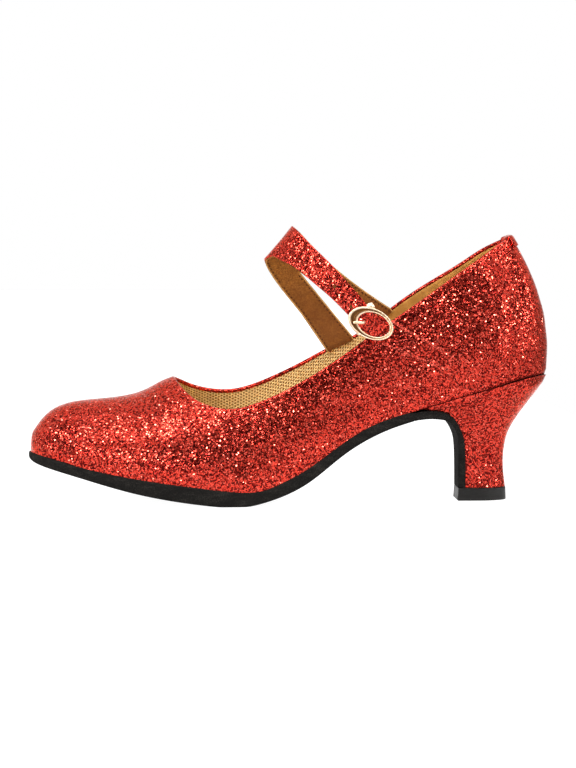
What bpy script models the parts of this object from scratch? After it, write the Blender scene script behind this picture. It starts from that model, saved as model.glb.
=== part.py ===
"""Left ballroom dance shoe with a flared heel, an instep strap and an oval buckle.

Millimetres inside the tables, metres in the scene. The toe points to -X, the outer side faces -Y and the
floor is Z = 0. A station s is the distance from the toe tip along the shoe.
"""
import math

import bmesh
import bpy
import numpy as np

MM = 0.001
LENGTH = 238.0
TOE_X = -118.98
SIDE_Y = 1.25
GAP = 0.3

WALL = 1.8
THROAT = 66.2
TOE_OFFSET = 3.0
TOE_OFFSET_END = 130.0
FAN_START = 195.0
FAN_REACH = 11.0

SOLE_MARGIN = 0.8
SOLE_EDGE = 1.6
SOLE_END = 172.0
INSOLE_THICK = 2.0
INSOLE_CLEAR = 1.0

HEEL_ROUND = 0.4
TIP_HEIGHT = 5.8
TIP_FRONT = 196.9
TIP_BACK = 219.7
TIP_HALF = 10.3
TIP_FLARE = 0.4

STRAP_THICK = 1.5
STRAP_ARCH = 2.2
STRAP_NEAR_Y = -28.8
STRAP_SPLIT = 0.30
STRAP_SAG = 2.0
STRAP_LEAN = 4.5
LEAN_POWER = 8
STRAP_SWELL = 1.3
SWELL_END = 0.6
SWELL_POWER = 0.63

BUCKLE_CENTRE = (155.0, -30.8, 82.2)
BUCKLE_TILT = math.radians(23.0)
RING_OUTER = (10.7, 6.9)
RING_INNER = (7.4, 5.1)
RING_SHIFT = 1.4
RING_THICK = 1.7
BAR_RADIUS = 0.7
BAR_DEPTH = 5.1
BAR_ALONG = -3.0
POST_RADIUS = 0.9
POST_ACROSS = (-6.3, 7.9)
LUG_RADIUS = 1.8
PRONG_RADIUS = 0.6
EYE_RADIUS = 0.5
STRAP_HOLE = (-3.5, -0.25)
STRAP_HOLE_RADIUS = 1.3
TAB_THICK = 0.9
TAB_HALF = 4.4
TAB_FOOT = (158.4, 165.6)

BACK_TAB_START = 229.5
BACK_TAB_LOW = 0.92
BACK_TAB_THICK = 0.8
BACK_TAB_GAP = 0.5

GLITTER_PAINT = ((0.62, 0.02, 0.02), 0.5, 0.35)

# Feather line in plan: station, half width on the outer side, half width on the inner side.
OUTLINE = (
    (0, -3.0, 3.0),
    (2, 6.4, 12.4),
    (7, 13.8, 19.6),
    (18, 22.3, 27.0),
    (36, 30.0, 32.6),
    (58, 35.8, 35.6),
    (80, 38.3, 35.0),
    (100, 37.3, 30.6),
    (122, 32.3, 25.0),
    (146, 27.3, 22.4),
    (172, 25.0, 23.5),
    (198, 25.5, 25.5),
    (216, 23.5, 23.5),
    (229, 16.9, 16.9),
    (236, 8.4, 8.4),
    (238, 0.0, 0.0),
)
# Side view: station, height of the feather line, height of the underside of the sole.
PROFILE = (
    (0, 22.8, 19.4),
    (13, 20.0, 14.8),
    (24, 17.2, 12.0),
    (46, 13.0, 6.3),
    (67, 10.0, 2.4),
    (84, 7.9, 0.3),
    (99, 6.6, 0.0),
    (106, 7.2, 1.4),
    (116, 11.0, 4.6),
    (127, 16.8, 10.1),
    (143, 28.1, 22.3),
    (154, 34.7, 29.2),
    (165, 39.2, 34.2),
    (176, 42.4, 37.8),
    (193, 47.6, 43.0),
    (211, 52.5, 48.0),
    (225, 56.3, 52.0),
    (238, 57.8, 53.0),
)
# Crown of the last above the feather line: station, rise, peak exponent, outward bulge of the wall.
CROWN = (
    (0, 0.0, 0.90, 0.0),
    (0.6, 7.6, 0.90, 0.3),
    (2, 10.8, 0.92, 0.5),
    (7, 18.0, 0.95, 0.8),
    (14, 24.0, 0.97, 1.1),
    (28, 30.2, 1.0, 1.4),
    (43, 34.7, 1.05, 1.7),
    (54, 39.8, 1.12, 1.9),
    (60.5, 44.2, 1.17, 2.0),
    (66.2, 47.2, 1.20, 2.0),
    (82, 55.5, 1.20, 2.0),
    (105, 67.0, 1.15, 1.9),
    (130, 78.0, 1.1, 1.5),
    (160, 89.0, 1.1, 1.2),
    (190, 92.0, 1.25, 1.3),
    (216, 87.0, 1.6, 2.9),
    (238, 80.0, 2.45, 5.6),
)
# Topline on the outer side and on the inner side: station, height.
TOPLINE_OUTER = (
    (66.2, 57.2),
    (71, 51.9),
    (78, 47.2),
    (84, 45.1),
    (90, 44.2),
    (96, 44.6),
    (103, 46.5),
    (112, 50.0),
    (123, 55.4),
    (137, 63.6),
    (150, 72.6),
    (164, 82.4),
    (177, 91.3),
    (191, 101.4),
    (203, 109.6),
    (215, 116.2),
    (227, 120.3),
    (238, 121.8),
)
TOPLINE_INNER = (
    (66.2, 57.2),
    (72.6, 54.0),
    (80, 51.5),
    (87.6, 50.4),
    (95, 50.7),
    (103, 52.8),
    (114, 57.3),
    (125, 62.6),
    (139, 70.0),
    (152, 76.3),
    (169, 89.1),
    (182, 98.2),
    (196, 106.7),
    (208, 113.9),
    (220, 118.6),
    (230, 121.0),
    (238, 121.8),
)
# Sole down the breast of the heel: inner face s, z; outer face s, z; half width.
BREAST = (
    (176.5, 41.4, 176.0, 37.7, 24.6),
    (182.6, 42.0, 182.2, 38.4, 24.2),
    (188.5, 41.2, 187.9, 38.0, 22.4),
    (192.4, 39.2, 191.4, 36.9, 20.6),
    (195.3, 35.9, 193.9, 34.3, 18.4),
    (197.4, 32.0, 195.6, 30.9, 16.2),
    (198.9, 27.6, 196.5, 26.8, 14.0),
    (199.7, 20.9, 196.7, 20.6, 11.8),
    (199.9, 13.5, 196.7, 13.5, 10.5),
    (199.9, 6.1, 196.7, 6.1, 10.1),
)
# Heel from the top piece to the seat: breast s, z; back s, z; half width at the breast and at its widest.
HEEL = (
    (200.2, 6.1, 219.5, 6.1, 9.8, 10.2),
    (200.2, 13.5, 218.6, 14.0, 10.2, 10.0),
    (200.0, 20.9, 218.7, 22.0, 11.4, 10.9),
    (199.2, 27.8, 220.2, 29.8, 13.4, 12.8),
    (197.7, 32.3, 222.7, 35.2, 15.6, 15.1),
    (195.6, 36.3, 226.0, 40.2, 17.9, 17.6),
    (192.7, 39.6, 229.3, 44.6, 20.1, 20.3),
    (188.7, 41.6, 232.7, 49.1, 22.2, 22.9),
    (182.9, 42.4, 235.8, 53.2, 24.0, 24.9),
    (178.5, 42.4, 238.4, 57.4, 25.2, 26.0),
)
# Strap edges in side view: s, z.
STRAP_CROTCH = (125.0, 104.8)
# Near run of the strap: share of the way down, front edge s, z, back edge s, z.
STRAP_NEAR = (
    (0.0, 108.2, 110.6, 121.0, 126.1),
    (0.02, 111.0, 112.2, 121.9, 125.1),
    (0.05, 114.0, 111.3, 123.1, 123.8),
    (0.12, 118.4, 108.9, 126.0, 120.5),
    (0.21, 122.3, 106.5, 129.3, 116.9),
    (0.45, 130.0, 99.9, 137.5, 108.7),
    (0.60, 136.9, 94.0, 143.7, 101.8),
    (0.76, 143.7, 87.2, 150.4, 94.1),
    (0.86, 148.4, 82.4, 154.3, 89.4),
    (0.93, 152.4, 78.4, 158.0, 85.3),
    (1.0, 156.6, 74.7, 162.2, 80.9),
)
STRAP_ARM_FRONT = (137.2, 149.9)
STRAP_ARM_BACK = (158.6, 168.0)
# Pin from its eye on the bar to its tip over the left end of the ring: along, across, out.
PRONG_PATH = (
    (-4.5, 0.0, -4.9),
    (-3.9, -0.1, -2.9),
    (-3.0, -0.4, -0.9),
    (-3.2, -0.9, 1.45),
    (-4.8, -1.6, 1.85),
    (-7.6, -2.75, 1.85),
)


def natural_spline(knots, values):
    """Natural cubic spline through the points (knots, values), returned as a function."""
    x = np.asarray(knots, float)
    y = np.asarray(values, float)
    h = np.diff(x)
    system = np.eye(len(x))
    right = np.zeros(len(x))
    for i in range(1, len(x) - 1):
        system[i, i - 1:i + 2] = h[i - 1], 2 * (h[i - 1] + h[i]), h[i]
        right[i] = 6 * ((y[i + 1] - y[i]) / h[i] - (y[i] - y[i - 1]) / h[i - 1])
    bend = np.linalg.solve(system, right)

    def at(q):
        q = np.clip(np.asarray(q, float), x[0], x[-1])
        i = np.clip(np.searchsorted(x, q) - 1, 0, len(x) - 2)
        a = (x[i + 1] - q) / h[i]
        b = 1 - a
        curve = ((a ** 3 - a) * bend[i] + (b ** 3 - b) * bend[i + 1]) * h[i] ** 2 / 6
        return a * y[i] + b * y[i + 1] + curve

    return at


def turn(s):
    """Angle of a station: 0 at the toe tip, pi at the back of the heel, so that both ends are round."""
    return np.arccos(np.clip(1 - 2 * np.asarray(s, float) / LENGTH, -1, 1))


def columns(table):
    """One spline per column of a table whose first column is the station."""
    rows = np.array(table, float)
    return [natural_spline(turn(rows[:, 0]), rows[:, k]) for k in range(1, rows.shape[1])]


outline_outer, outline_inner = columns(OUTLINE)
feather_z, under_z = columns(PROFILE)
crown_rise, crown_peak, wall_bulge = columns(CROWN)
topline_z = {-1: columns(TOPLINE_OUTER)[0], 1: columns(TOPLINE_INNER)[0]}


def half_width(side, s):
    """Distance of the feather line from the long axis; side is -1 outside, 1 inside."""
    return (outline_outer if side < 0 else outline_inner)(turn(s))


def ridge_y(s):
    """Sideways place of the crown, which swings to the inner side at the toe."""
    t = np.clip(np.asarray(s, float) / TOE_OFFSET_END, 0, 1)
    return TOE_OFFSET * (1 - t * t * (3 - 2 * t))


def skin(side, s, v):
    """Outer face of the upper: from the feather line (v = 0) to the ridge or the topline (v = 1).

    Each rib is part of an oval arch: it rises by H sin(a) and closes in by W (1 - cos(a)^e) - b sin(2a).
    """
    s, v = np.broadcast_arrays(np.asarray(s, float), np.asarray(v, float))
    u = turn(s)
    base_y = side * half_width(side, s)
    base_z = feather_z(u)
    over = np.maximum(s - FAN_START, 0)
    spine_s = np.minimum(s, FAN_START) + FAN_REACH * np.tanh(over / FAN_REACH)
    way_s = spine_s - s
    way_y = ridge_y(s) - base_y
    reach = np.hypot(way_s, way_y)
    safe = np.maximum(reach, 1e-9)
    rise = np.maximum(crown_rise(u), 0)
    share = np.clip((topline_z[side](u) - base_z) / np.maximum(rise, 1e-9), 0, 1)
    last = np.where(s <= THROAT, math.pi / 2, np.arcsin(share))
    a = last * v
    close = reach * (1 - np.maximum(np.cos(a), 0) ** crown_peak(u)) - wall_bulge(u) * np.sin(2 * a)
    return np.stack([s + way_s / safe * close, base_y + way_y / safe * close, base_z + rise * np.sin(a)], -1)


def skin_frame(side, s, v):
    """Outward normal of the upper and the direction up the rib."""
    ds = 0.05
    dv = 0.002
    along = skin(side, np.minimum(s + ds, LENGTH), v) - skin(side, s - ds, v)
    up = skin(side, s, np.minimum(v + dv, 1.0)) - skin(side, s, v - dv)
    up = up / np.linalg.norm(up, axis=-1, keepdims=True)
    normal = side * np.cross(up, along)
    return normal / np.linalg.norm(normal, axis=-1, keepdims=True), up


def rim_point(side, s):
    """Middle of the topline rim, a gap above it."""
    s = np.asarray(s, float)
    normal, up = skin_frame(side, s, np.ones_like(s))
    return skin(side, s, np.ones_like(s)) - normal * WALL / 2 + up * GAP


def lerp(a, b, t):
    """Point between a and b."""
    return np.asarray(a, float) * (1 - t) + np.asarray(b, float) * t


def new_object(name, verts, faces, material, thickness=0.0, offset=0.0, smooth=True):
    """Mesh object from vertices in shoe millimetres, welded; a thickness turns a sheet into a shell."""
    points = (np.asarray(verts, float).reshape(-1, 3) + (TOE_X, SIDE_Y, 0)) * MM
    mesh = bpy.data.meshes.new(name)
    mesh.from_pydata(points.tolist(), [], faces)
    bm = bmesh.new()
    bm.from_mesh(mesh)
    bmesh.ops.remove_doubles(bm, verts=bm.verts, dist=0.00002)
    if not thickness:
        bmesh.ops.recalc_face_normals(bm, faces=bm.faces)
    bm.to_mesh(mesh)
    bm.free()
    mesh.polygons.foreach_set("use_smooth", [smooth] * len(mesh.polygons))
    obj = bpy.data.objects.new(name, mesh)
    shoe.objects.link(obj)
    mesh.materials.append(material)
    if thickness:
        shell = obj.modifiers.new("wall", "SOLIDIFY")
        shell.thickness = thickness * MM
        shell.offset = offset
        shell.use_even_offset = True
    return obj


def grid_faces(rows, cols, start=0, flip=False, wrap=False):
    """Quads of a grid of rows by cols vertices; wrap joins the last column to the first."""
    faces = []
    for i in range(rows - 1):
        for j in range(cols if wrap else cols - 1):
            k = (j + 1) % cols
            row = start + i * cols
            quad = (row + j, row + k, row + cols + k, row + cols + j)
            faces.append(quad[::-1] if flip else quad)
    return faces


def paint(name, colour, metallic, roughness):
    """Principled material of one piece."""
    material = bpy.data.materials.new(name)
    material.use_nodes = True
    shader = material.node_tree.nodes["Principled BSDF"]
    shader.inputs["Base Color"].default_value = (*colour, 1)
    shader.inputs["Metallic"].default_value = metallic
    shader.inputs["Roughness"].default_value = roughness
    material.diffuse_color = (*colour, 1)
    return material


def stations():
    """Stations of the ribs, closer together at both ends and behind the throat."""
    toe = (1 - np.cos(np.linspace(0, float(turn(THROAT)), 17))) * LENGTH / 2
    behind = THROAT + 17.8 * np.linspace(0, 1, 6)[1:] ** 2
    rear = (1 - np.cos(np.linspace(float(turn(behind[-1])), math.pi, 26)[1:])) * LENGTH / 2
    return np.concatenate([toe, behind, rear])


def build_upper():
    """Wall of the upper: ribs on both sides, joined along the vamp ridge and at the back of the heel."""
    s = stations()
    v = np.linspace(0, 1, 12)
    verts = []
    faces = []
    for side in (-1, 1):
        start = len(verts) * len(s) * len(v)
        verts.append(skin(side, s[:, None], v[None, :]))
        faces += grid_faces(len(s), len(v), start, flip=side < 0)
    new_object("upper", np.array(verts), faces, paint("glitter_upper", *GLITTER_PAINT), WALL, -1.0)


def sole_row(inner, outer, half_outer, half_inner):
    """Closed section of the sole between a point on its upper face and one on its lower face."""
    edge = np.clip(np.minimum(SOLE_EDGE, 0.4 * (half_outer + half_inner)), 0, None)
    thick = math.dist(inner, outer)
    lift = min(SOLE_EDGE / thick, 0.45)
    places = (
        (1.0, -half_outer),
        (lift, -half_outer),
        (lift * 0.3, -half_outer + edge * 0.3),
        (0.0, -half_outer + edge),
        (0.0, half_inner - edge),
        (lift * 0.3, half_inner - edge * 0.3),
        (lift, half_inner),
        (1.0, half_inner),
    )
    row = []
    for height, y in places:
        s, z = lerp(outer, inner, height)
        row.append((s, y, z))
    return row


def build_outsole():
    """Suede sole: its outline stands out from the feather line, and its end goes down the heel breast."""
    rows = []
    for u in np.linspace(0, float(turn(SOLE_END)), 32):
        s = (1 - math.cos(u)) * LENGTH / 2
        out = SOLE_MARGIN * math.sin(u)
        place = s - SOLE_MARGIN * max(math.cos(u), 0)
        top = float(feather_z(u)) - GAP
        low = max(float(under_z(u)), 0.0)
        widths = [float(half_width(side, s)) + out for side in (-1, 1)]
        rows.append(sole_row((place, top), (place, low), *widths))
    breast = np.array(BREAST)
    steps = np.arange(len(breast))
    curves = [natural_spline(steps, breast[:, k]) for k in range(breast.shape[1])]
    for step in np.linspace(0, len(breast) - 1, 2 * len(breast) - 1):
        a, b, c, d, half = (float(curve(step)) for curve in curves)
        rows.append(sole_row((a, b), (c, d), half, half))
    cols = len(rows[0])
    faces = grid_faces(len(rows), cols, wrap=True)
    last = (len(rows) - 1) * cols
    faces.append(tuple(range(last, last + cols)))
    new_object("outsole", np.array(rows), faces, paint("suede_black", (0.012, 0.011, 0.010), 0.0, 0.95))


def build_insole():
    """Board inside the upper, on the sole and the heel seat."""
    rows = []
    inset = WALL + INSOLE_CLEAR
    for u in np.linspace(0, math.pi, 40):
        s = (1 - math.cos(u)) * LENGTH / 2
        place = s + inset * math.cos(u)
        low = float(feather_z(turn(place))) + GAP / 2
        outer, inner = (float(half_width(side, s)) - inset * math.sin(u) for side in (-1, 1))
        rows.append([(place, -outer, low), (place, -outer, low + INSOLE_THICK),
                     (place, inner, low + INSOLE_THICK), (place, inner, low)])
    faces = grid_faces(len(rows), 4, wrap=True)
    new_object("insole", np.array(rows), faces, paint("insole_mesh", (0.42, 0.30, 0.15), 0.0, 0.8))


def heel_outline(front, back, half_front, half_wide, places):
    """Outer half of a heel section: straight at the breast, an oval at the back; s, half width per place."""
    s = front + (back - front) * places
    grow = half_front + (half_wide - half_front) * np.clip(places / HEEL_ROUND, 0, 1)
    bend = np.clip((places - HEEL_ROUND) / (1 - HEEL_ROUND), 0, 1)
    return s, grow * np.sqrt(np.maximum(1 - bend ** 2, 0))


def build_heel():
    """Flared heel: sections from the top piece to the seat, which follows the feather line."""
    table = np.array(HEEL)
    steps = np.arange(len(table))
    curves = [natural_spline(steps, table[:, k]) for k in range(table.shape[1])]
    places = np.concatenate([np.linspace(0, HEEL_ROUND, 4)[:-1],
                             HEEL_ROUND + (1 - HEEL_ROUND) * np.sin(np.linspace(0, math.pi / 2, 11))])
    rows = []
    levels = np.linspace(0, len(table) - 1, 2 * len(table) - 1)
    for level in levels:
        fs, fz, bs, bz, half_front, half_wide = (float(curve(level)) for curve in curves)
        s, half = heel_outline(fs, bs, half_front, half_wide, places)
        z = fz + (bz - fz) * places
        if level == levels[-1]:
            z = feather_z(turn(s)) - GAP
        outer = np.stack([s, -half, z], -1)
        inner = np.stack([s, half, z], -1)
        rows.append(np.concatenate([outer, inner[-2::-1]]))
    cols = len(rows[0])
    faces = grid_faces(len(rows), cols, wrap=True)
    for row in (0, len(rows) - 1):
        start = row * cols
        for i in range(len(places) - 1):
            j = cols - 1 - i
            faces.append((start + i, start + i + 1, start + j - 1, start + j))
    new_object("heel", np.array(rows), faces, paint("glitter_heel", *GLITTER_PAINT))


def build_heel_tip():
    """Top piece: a D-shaped block under the heel and the end of the sole."""
    places = np.concatenate([np.linspace(0, HEEL_ROUND, 3)[:-1],
                             HEEL_ROUND + (1 - HEEL_ROUND) * np.sin(np.linspace(0, math.pi / 2, 10))])
    rows = []
    for z, flare in ((0.0, TIP_FLARE), (TIP_HEIGHT, 0.0)):
        s, half = heel_outline(TIP_FRONT - flare, TIP_BACK + flare / 2, TIP_HALF + flare / 2,
                               TIP_HALF + flare, places)
        outer = np.stack([s, -half, np.full_like(s, z)], -1)
        inner = np.stack([s, half, np.full_like(s, z)], -1)
        rows.append(np.concatenate([outer, inner[-2::-1]]))
    cols = len(rows[0])
    faces = grid_faces(2, cols, wrap=True)
    faces.append(tuple(range(cols)))
    faces.append(tuple(range(cols, 2 * cols)))
    rubber = paint("tip_black", (0.02, 0.018, 0.016), 0.0, 0.35)
    tip = new_object("heel_tip", np.array(rows), faces, rubber, smooth=False)
    round_off(tip, 0.4)


def round_off(obj, width):
    """Small rounding of the sharp edges."""
    bevel = obj.modifiers.new("edge", "BEVEL")
    bevel.width = width * MM
    bevel.segments = 2
    bevel.limit_method = "ANGLE"
    bevel.angle_limit = math.radians(40)


def sag(fall):
    """Drop of the back edge below the straight line to the end of its arm, greatest half way down."""
    return STRAP_SAG * 4 * fall * (1 - fall) * np.array((-0.62, 0.0, -0.78))


def swell(fall):
    """Bow of the front edge forwards and down near the crown, which dies away part of the way down."""
    bow = math.sin(math.pi * min(fall / SWELL_END, 1) ** SWELL_POWER)
    return STRAP_SWELL * bow * np.array((-0.83, 0.0, -0.55))


def lean(fall, q):
    """Shift of the band's front edge to the inner side, greatest at the crown; the back edge stays."""
    return STRAP_LEAN * (1 - q) * (1 - fall) ** LEAN_POWER


def arch(phi):
    """Fall and sideways share on the strap's superellipse; phi is 0 at the crown, pi / 2 at the end."""
    power = 2 / STRAP_ARCH
    return 1 - max(math.cos(phi), 0) ** power, math.sin(phi) ** power


def build_strap():
    """Instep strap: one band from the buckle over the crown, split into two arms on the inner side."""
    half = 3
    shares = np.linspace(0, 1, 2 * half + 1)
    table = np.array(STRAP_NEAR)
    edges = [natural_spline(table[:, 0], table[:, k]) for k in range(1, 5)]
    rows = []
    for phi in np.linspace(math.pi / 2, 0, 17):
        fall, aside = arch(phi)
        front_s, front_z, back_s, back_z = (float(edge(fall)) for edge in edges)
        rows.append([(float(lerp(front_s, back_s, q)), STRAP_NEAR_Y * aside + lean(fall, q),
                      float(lerp(front_z, back_z, q))) for q in shares])
    crown = np.array(rows[-1])
    front = rim_point(1, np.linspace(*STRAP_ARM_FRONT, half + 1))
    back = rim_point(1, np.linspace(*STRAP_ARM_BACK, half + 1))
    split = math.acos((1 - STRAP_SPLIT) ** (STRAP_ARCH / 2))
    for phi in np.linspace(0, split, 6)[1:]:
        fall, aside = arch(phi)
        first = lerp(crown[0], front[0], fall) + swell(fall)
        last = lerp(crown[-1], back[-1], fall) + sag(fall)
        middle = lerp(crown[half], (STRAP_CROTCH[0], 0, STRAP_CROTCH[1]), phi / split)
        first[1] = front[0][1] * aside + lean(fall, 0)
        last[1] = back[-1][1] * aside
        middle[1] = (first[1] + last[1]) / 2
        rows.append([lerp(first, middle, k / half) for k in range(half)]
                    + [lerp(middle, last, k / half) for k in range(half + 1)])
    whole = np.array(rows)
    verts = [whole.reshape(-1, 3)]
    faces = grid_faces(len(rows), 2 * half + 1)
    count = len(rows) * (2 * half + 1)
    aside_split = arch(split)[1]
    to_edge = np.linspace(0, 1, half + 1)[:, None]
    arms = ((front, whole[-1, :half + 1], swell, 1 - to_edge), (back, whole[-1, half:], sag, to_edge))
    for base, begin, bend, share in arms:
        arm = []
        for phi in np.linspace(split, math.pi / 2, 9):
            fall, aside = arch(phi)
            row = lerp(begin, base, (fall - STRAP_SPLIT) / (1 - STRAP_SPLIT))
            chord = bend(STRAP_SPLIT) * (1 - fall) / (1 - STRAP_SPLIT)
            row += share * (bend(fall) - chord)
            row[:, 1] = lerp(begin[:, 1], base[:, 1], (aside - aside_split) / (1 - aside_split))
            arm.append(row)
        verts.append(np.array(arm).reshape(-1, 3))
        faces += grid_faces(len(arm), half + 1, count)
        count += len(arm) * (half + 1)
    new_object("strap", np.concatenate(verts), faces, paint("glitter_strap", *GLITTER_PAINT), STRAP_THICK)


def buckle_place(along, across, out):
    """Point of the buckle from its long axis, its short axis and the outward direction."""
    s, y, z = BUCKLE_CENTRE
    c = math.cos(BUCKLE_TILT)
    d = math.sin(BUCKLE_TILT)
    return s + along * c + across * d, y - out, z - along * d + across * c


def cylinder(name, start, end, radius, material, sides=16):
    """Closed cylinder between two points."""
    start = np.asarray(start, float)
    end = np.asarray(end, float)
    axis = (end - start) / np.linalg.norm(end - start)
    side = np.cross(axis, (1.0, 0.0, 0.0))
    side = side / np.linalg.norm(side)
    third = np.cross(axis, side)
    rows = []
    for place in (start, end):
        rows.append([place + radius * (math.cos(t) * side + math.sin(t) * third)
                     for t in np.linspace(0, 2 * math.pi, sides, endpoint=False)])
    faces = grid_faces(2, sides, wrap=True)
    faces.append(tuple(range(sides)))
    faces.append(tuple(range(sides, 2 * sides)))
    return new_object(name, np.array(rows), faces, material)


def join_to(obj, tool, operation):
    """Union with a tool or cut by it; the tool goes to the hidden collection."""
    shoe.objects.unlink(tool)
    tools.objects.link(tool)
    tool.hide_render = True
    tool.display_type = "WIRE"
    step = obj.modifiers.new("boolean", "BOOLEAN")
    step.operation = operation
    step.object = tool
    step.solver = "EXACT"


def build_buckle():
    """Oval ring with an off-centre opening, a lug, two posts and a set-back bar."""
    gold = paint("buckle_gold", (0.72, 0.53, 0.33), 1.0, 0.2)
    section = ((0.0, -0.5), (0.0, 0.15), (0.22, 0.5), (0.78, 0.5), (1.0, 0.1), (1.0, -0.5))
    rows = []
    for t in np.linspace(0, 2 * math.pi, 40, endpoint=False):
        outer = np.array((RING_OUTER[0] * math.cos(t), RING_OUTER[1] * math.sin(t)))
        inner = np.array((RING_SHIFT + RING_INNER[0] * math.cos(t), RING_INNER[1] * math.sin(t)))
        rows.append([buckle_place(*lerp(outer, inner, share), RING_THICK * height)
                     for share, height in section])
    rows.append(rows[0])
    faces = grid_faces(len(rows), len(section), wrap=True)
    ring = new_object("buckle_frame", np.array(rows), faces, gold)
    bar = cylinder("bar", buckle_place(BAR_ALONG, POST_ACROSS[0], -BAR_DEPTH),
                   buckle_place(BAR_ALONG, POST_ACROSS[1], -BAR_DEPTH), BAR_RADIUS, gold)
    join_to(ring, bar, "UNION")
    for across in POST_ACROSS:
        post = cylinder("post", buckle_place(BAR_ALONG, across, -BAR_DEPTH - POST_RADIUS),
                        buckle_place(BAR_ALONG, across, 0.1), POST_RADIUS, gold)
        join_to(ring, post, "UNION")
    lug = cylinder("lug", buckle_place(BAR_ALONG, POST_ACROSS[1] - 0.8, -RING_THICK * 0.45),
                   buckle_place(BAR_ALONG, POST_ACROSS[1] - 0.8, RING_THICK * 0.4), LUG_RADIUS, gold)
    join_to(ring, lug, "UNION")


def tube(centre, radius, sides):
    """Rows of a round tube along the centre points, which keep to one plane across the bar."""
    heading = np.gradient(centre, axis=0)
    heading = heading / np.linalg.norm(heading, axis=1, keepdims=True)
    across = np.array(buckle_place(0, 1, 0)) - np.array(buckle_place(0, 0, 0))
    side = np.cross(heading, across)
    side = side / np.linalg.norm(side, axis=1, keepdims=True)
    third = np.cross(heading, side)
    angles = np.linspace(0, 2 * math.pi, sides, endpoint=False)[None, :, None]
    return centre[:, None] + radius * (np.cos(angles) * side[:, None] + np.sin(angles) * third[:, None])


def build_prong():
    """Pin with an eye round the bar, through the strap and over the left end of the ring."""
    metal = paint("prong_gold", (0.72, 0.53, 0.33), 1.0, 0.2)
    eye = BAR_RADIUS + GAP + EYE_RADIUS
    path = np.array(PRONG_PATH)
    steps = np.arange(len(path))
    fine = np.linspace(0, len(path) - 1, 21)
    place = np.stack([natural_spline(steps, path[:, k])(fine) for k in range(3)], -1)
    rows = tube(np.array([buckle_place(*row) for row in place]), PRONG_RADIUS, 12)
    faces = grid_faces(len(rows), 12, wrap=True)
    faces.append(tuple(range(12)))
    faces.append(tuple(range(12 * (len(rows) - 1), 12 * len(rows))))
    pin = new_object("buckle_prong", rows, faces, metal)
    angles = np.linspace(0, 2 * math.pi, 25)
    heart = [buckle_place(BAR_ALONG + eye * math.cos(t), 0.0, -BAR_DEPTH + eye * math.sin(t))
             for t in angles]
    loop = tube(np.array(heart), EYE_RADIUS, 10)
    loop[-1] = loop[0]
    ring = new_object("eye", loop, grid_faces(len(loop), 10, wrap=True), metal)
    join_to(pin, ring, "UNION")
    hole = cylinder("strap_hole", buckle_place(*STRAP_HOLE, -BAR_DEPTH), buckle_place(*STRAP_HOLE, 0.8),
                    STRAP_HOLE_RADIUS, metal)
    join_to(bpy.data.objects["strap"], hole, "DIFFERENCE")


def build_tab():
    """Strip from the topline round the bar and back onto itself, open in the middle for the prong."""
    bend = BAR_RADIUS + GAP + TAB_THICK / 2
    levels = np.linspace(-TAB_HALF, TAB_HALF, 9)
    base = rim_point(-1, np.linspace(*TAB_FOOT, 9))
    rows = []
    leg = np.array([buckle_place(BAR_ALONG, level, -BAR_DEPTH - bend) for level in levels])
    for share in np.linspace(0, 1, 4)[:-1]:
        rows.append(lerp(base, leg, share))
    for t in np.linspace(0, math.pi, 11):
        rows.append([buckle_place(BAR_ALONG - bend * math.sin(t), level, -BAR_DEPTH - bend * math.cos(t))
                     for level in levels])
    for reach in (1.2, 2.4):
        rows.append([buckle_place(BAR_ALONG + reach, level, -BAR_DEPTH + bend - 0.3 * reach)
                     for level in levels])
    cloth = paint("glitter_tab", *GLITTER_PAINT)
    tab = new_object("buckle_tab", np.array(rows), grid_faces(len(rows), 9), cloth, TAB_THICK)
    reach = BAR_RADIUS + 2 * GAP + 2 * EYE_RADIUS + 0.3
    slot = cylinder("tab_slot", buckle_place(BAR_ALONG, -PRONG_RADIUS - GAP, -BAR_DEPTH),
                    buckle_place(BAR_ALONG, PRONG_RADIUS + GAP, -BAR_DEPTH), reach, cloth)
    join_to(tab, slot, "DIFFERENCE")


def build_back_tab():
    """Small piece folded over the topline at the back of the heel."""
    v = np.linspace(BACK_TAB_LOW, 1, 5)
    rows = []
    places = [(-1, q) for q in np.linspace(BACK_TAB_START, LENGTH - 0.1, 6)]
    places += [(1, q) for q in np.linspace(LENGTH - 0.1, BACK_TAB_START, 6)]
    for side, q in places:
        s = np.full_like(v, q)
        face = skin(side, s, v)
        normal, up = skin_frame(side, s, v)
        outside = face + normal * BACK_TAB_GAP
        inside = face - normal * (WALL + BACK_TAB_GAP)
        over = [outside[-1] + up[-1] * BACK_TAB_GAP,
                face[-1] - normal[-1] * WALL / 2 + up[-1] * BACK_TAB_GAP * 1.4,
                inside[-1] + up[-1] * BACK_TAB_GAP]
        rows.append(np.concatenate([outside, over, inside[::-1]]))
    grid = np.array(rows)
    faces = grid_faces(grid.shape[0], grid.shape[1], flip=True)
    new_object("back_tab", grid, faces, paint("glitter_back_tab", *GLITTER_PAINT), BACK_TAB_THICK, 1.0)


for old in list(bpy.data.objects):
    bpy.data.objects.remove(old)
shoe = bpy.data.collections.new("ballroom_shoe")
tools = bpy.data.collections.new("cutters")
bpy.context.scene.collection.children.link(shoe)
bpy.context.scene.collection.children.link(tools)
build_outsole()
build_upper()
build_insole()
build_heel()
build_heel_tip()
build_strap()
build_buckle()
build_prong()
build_tab()
build_back_tab()
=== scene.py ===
"""Left ballroom dance shoe in red glitter cloth, dressed around its solid model.

Shapes are worked out in millimetres along the shoe: a station s is the distance from the toe tip, y is
sideways with the outer side negative, z is the height above the floor.
"""
import math

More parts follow.
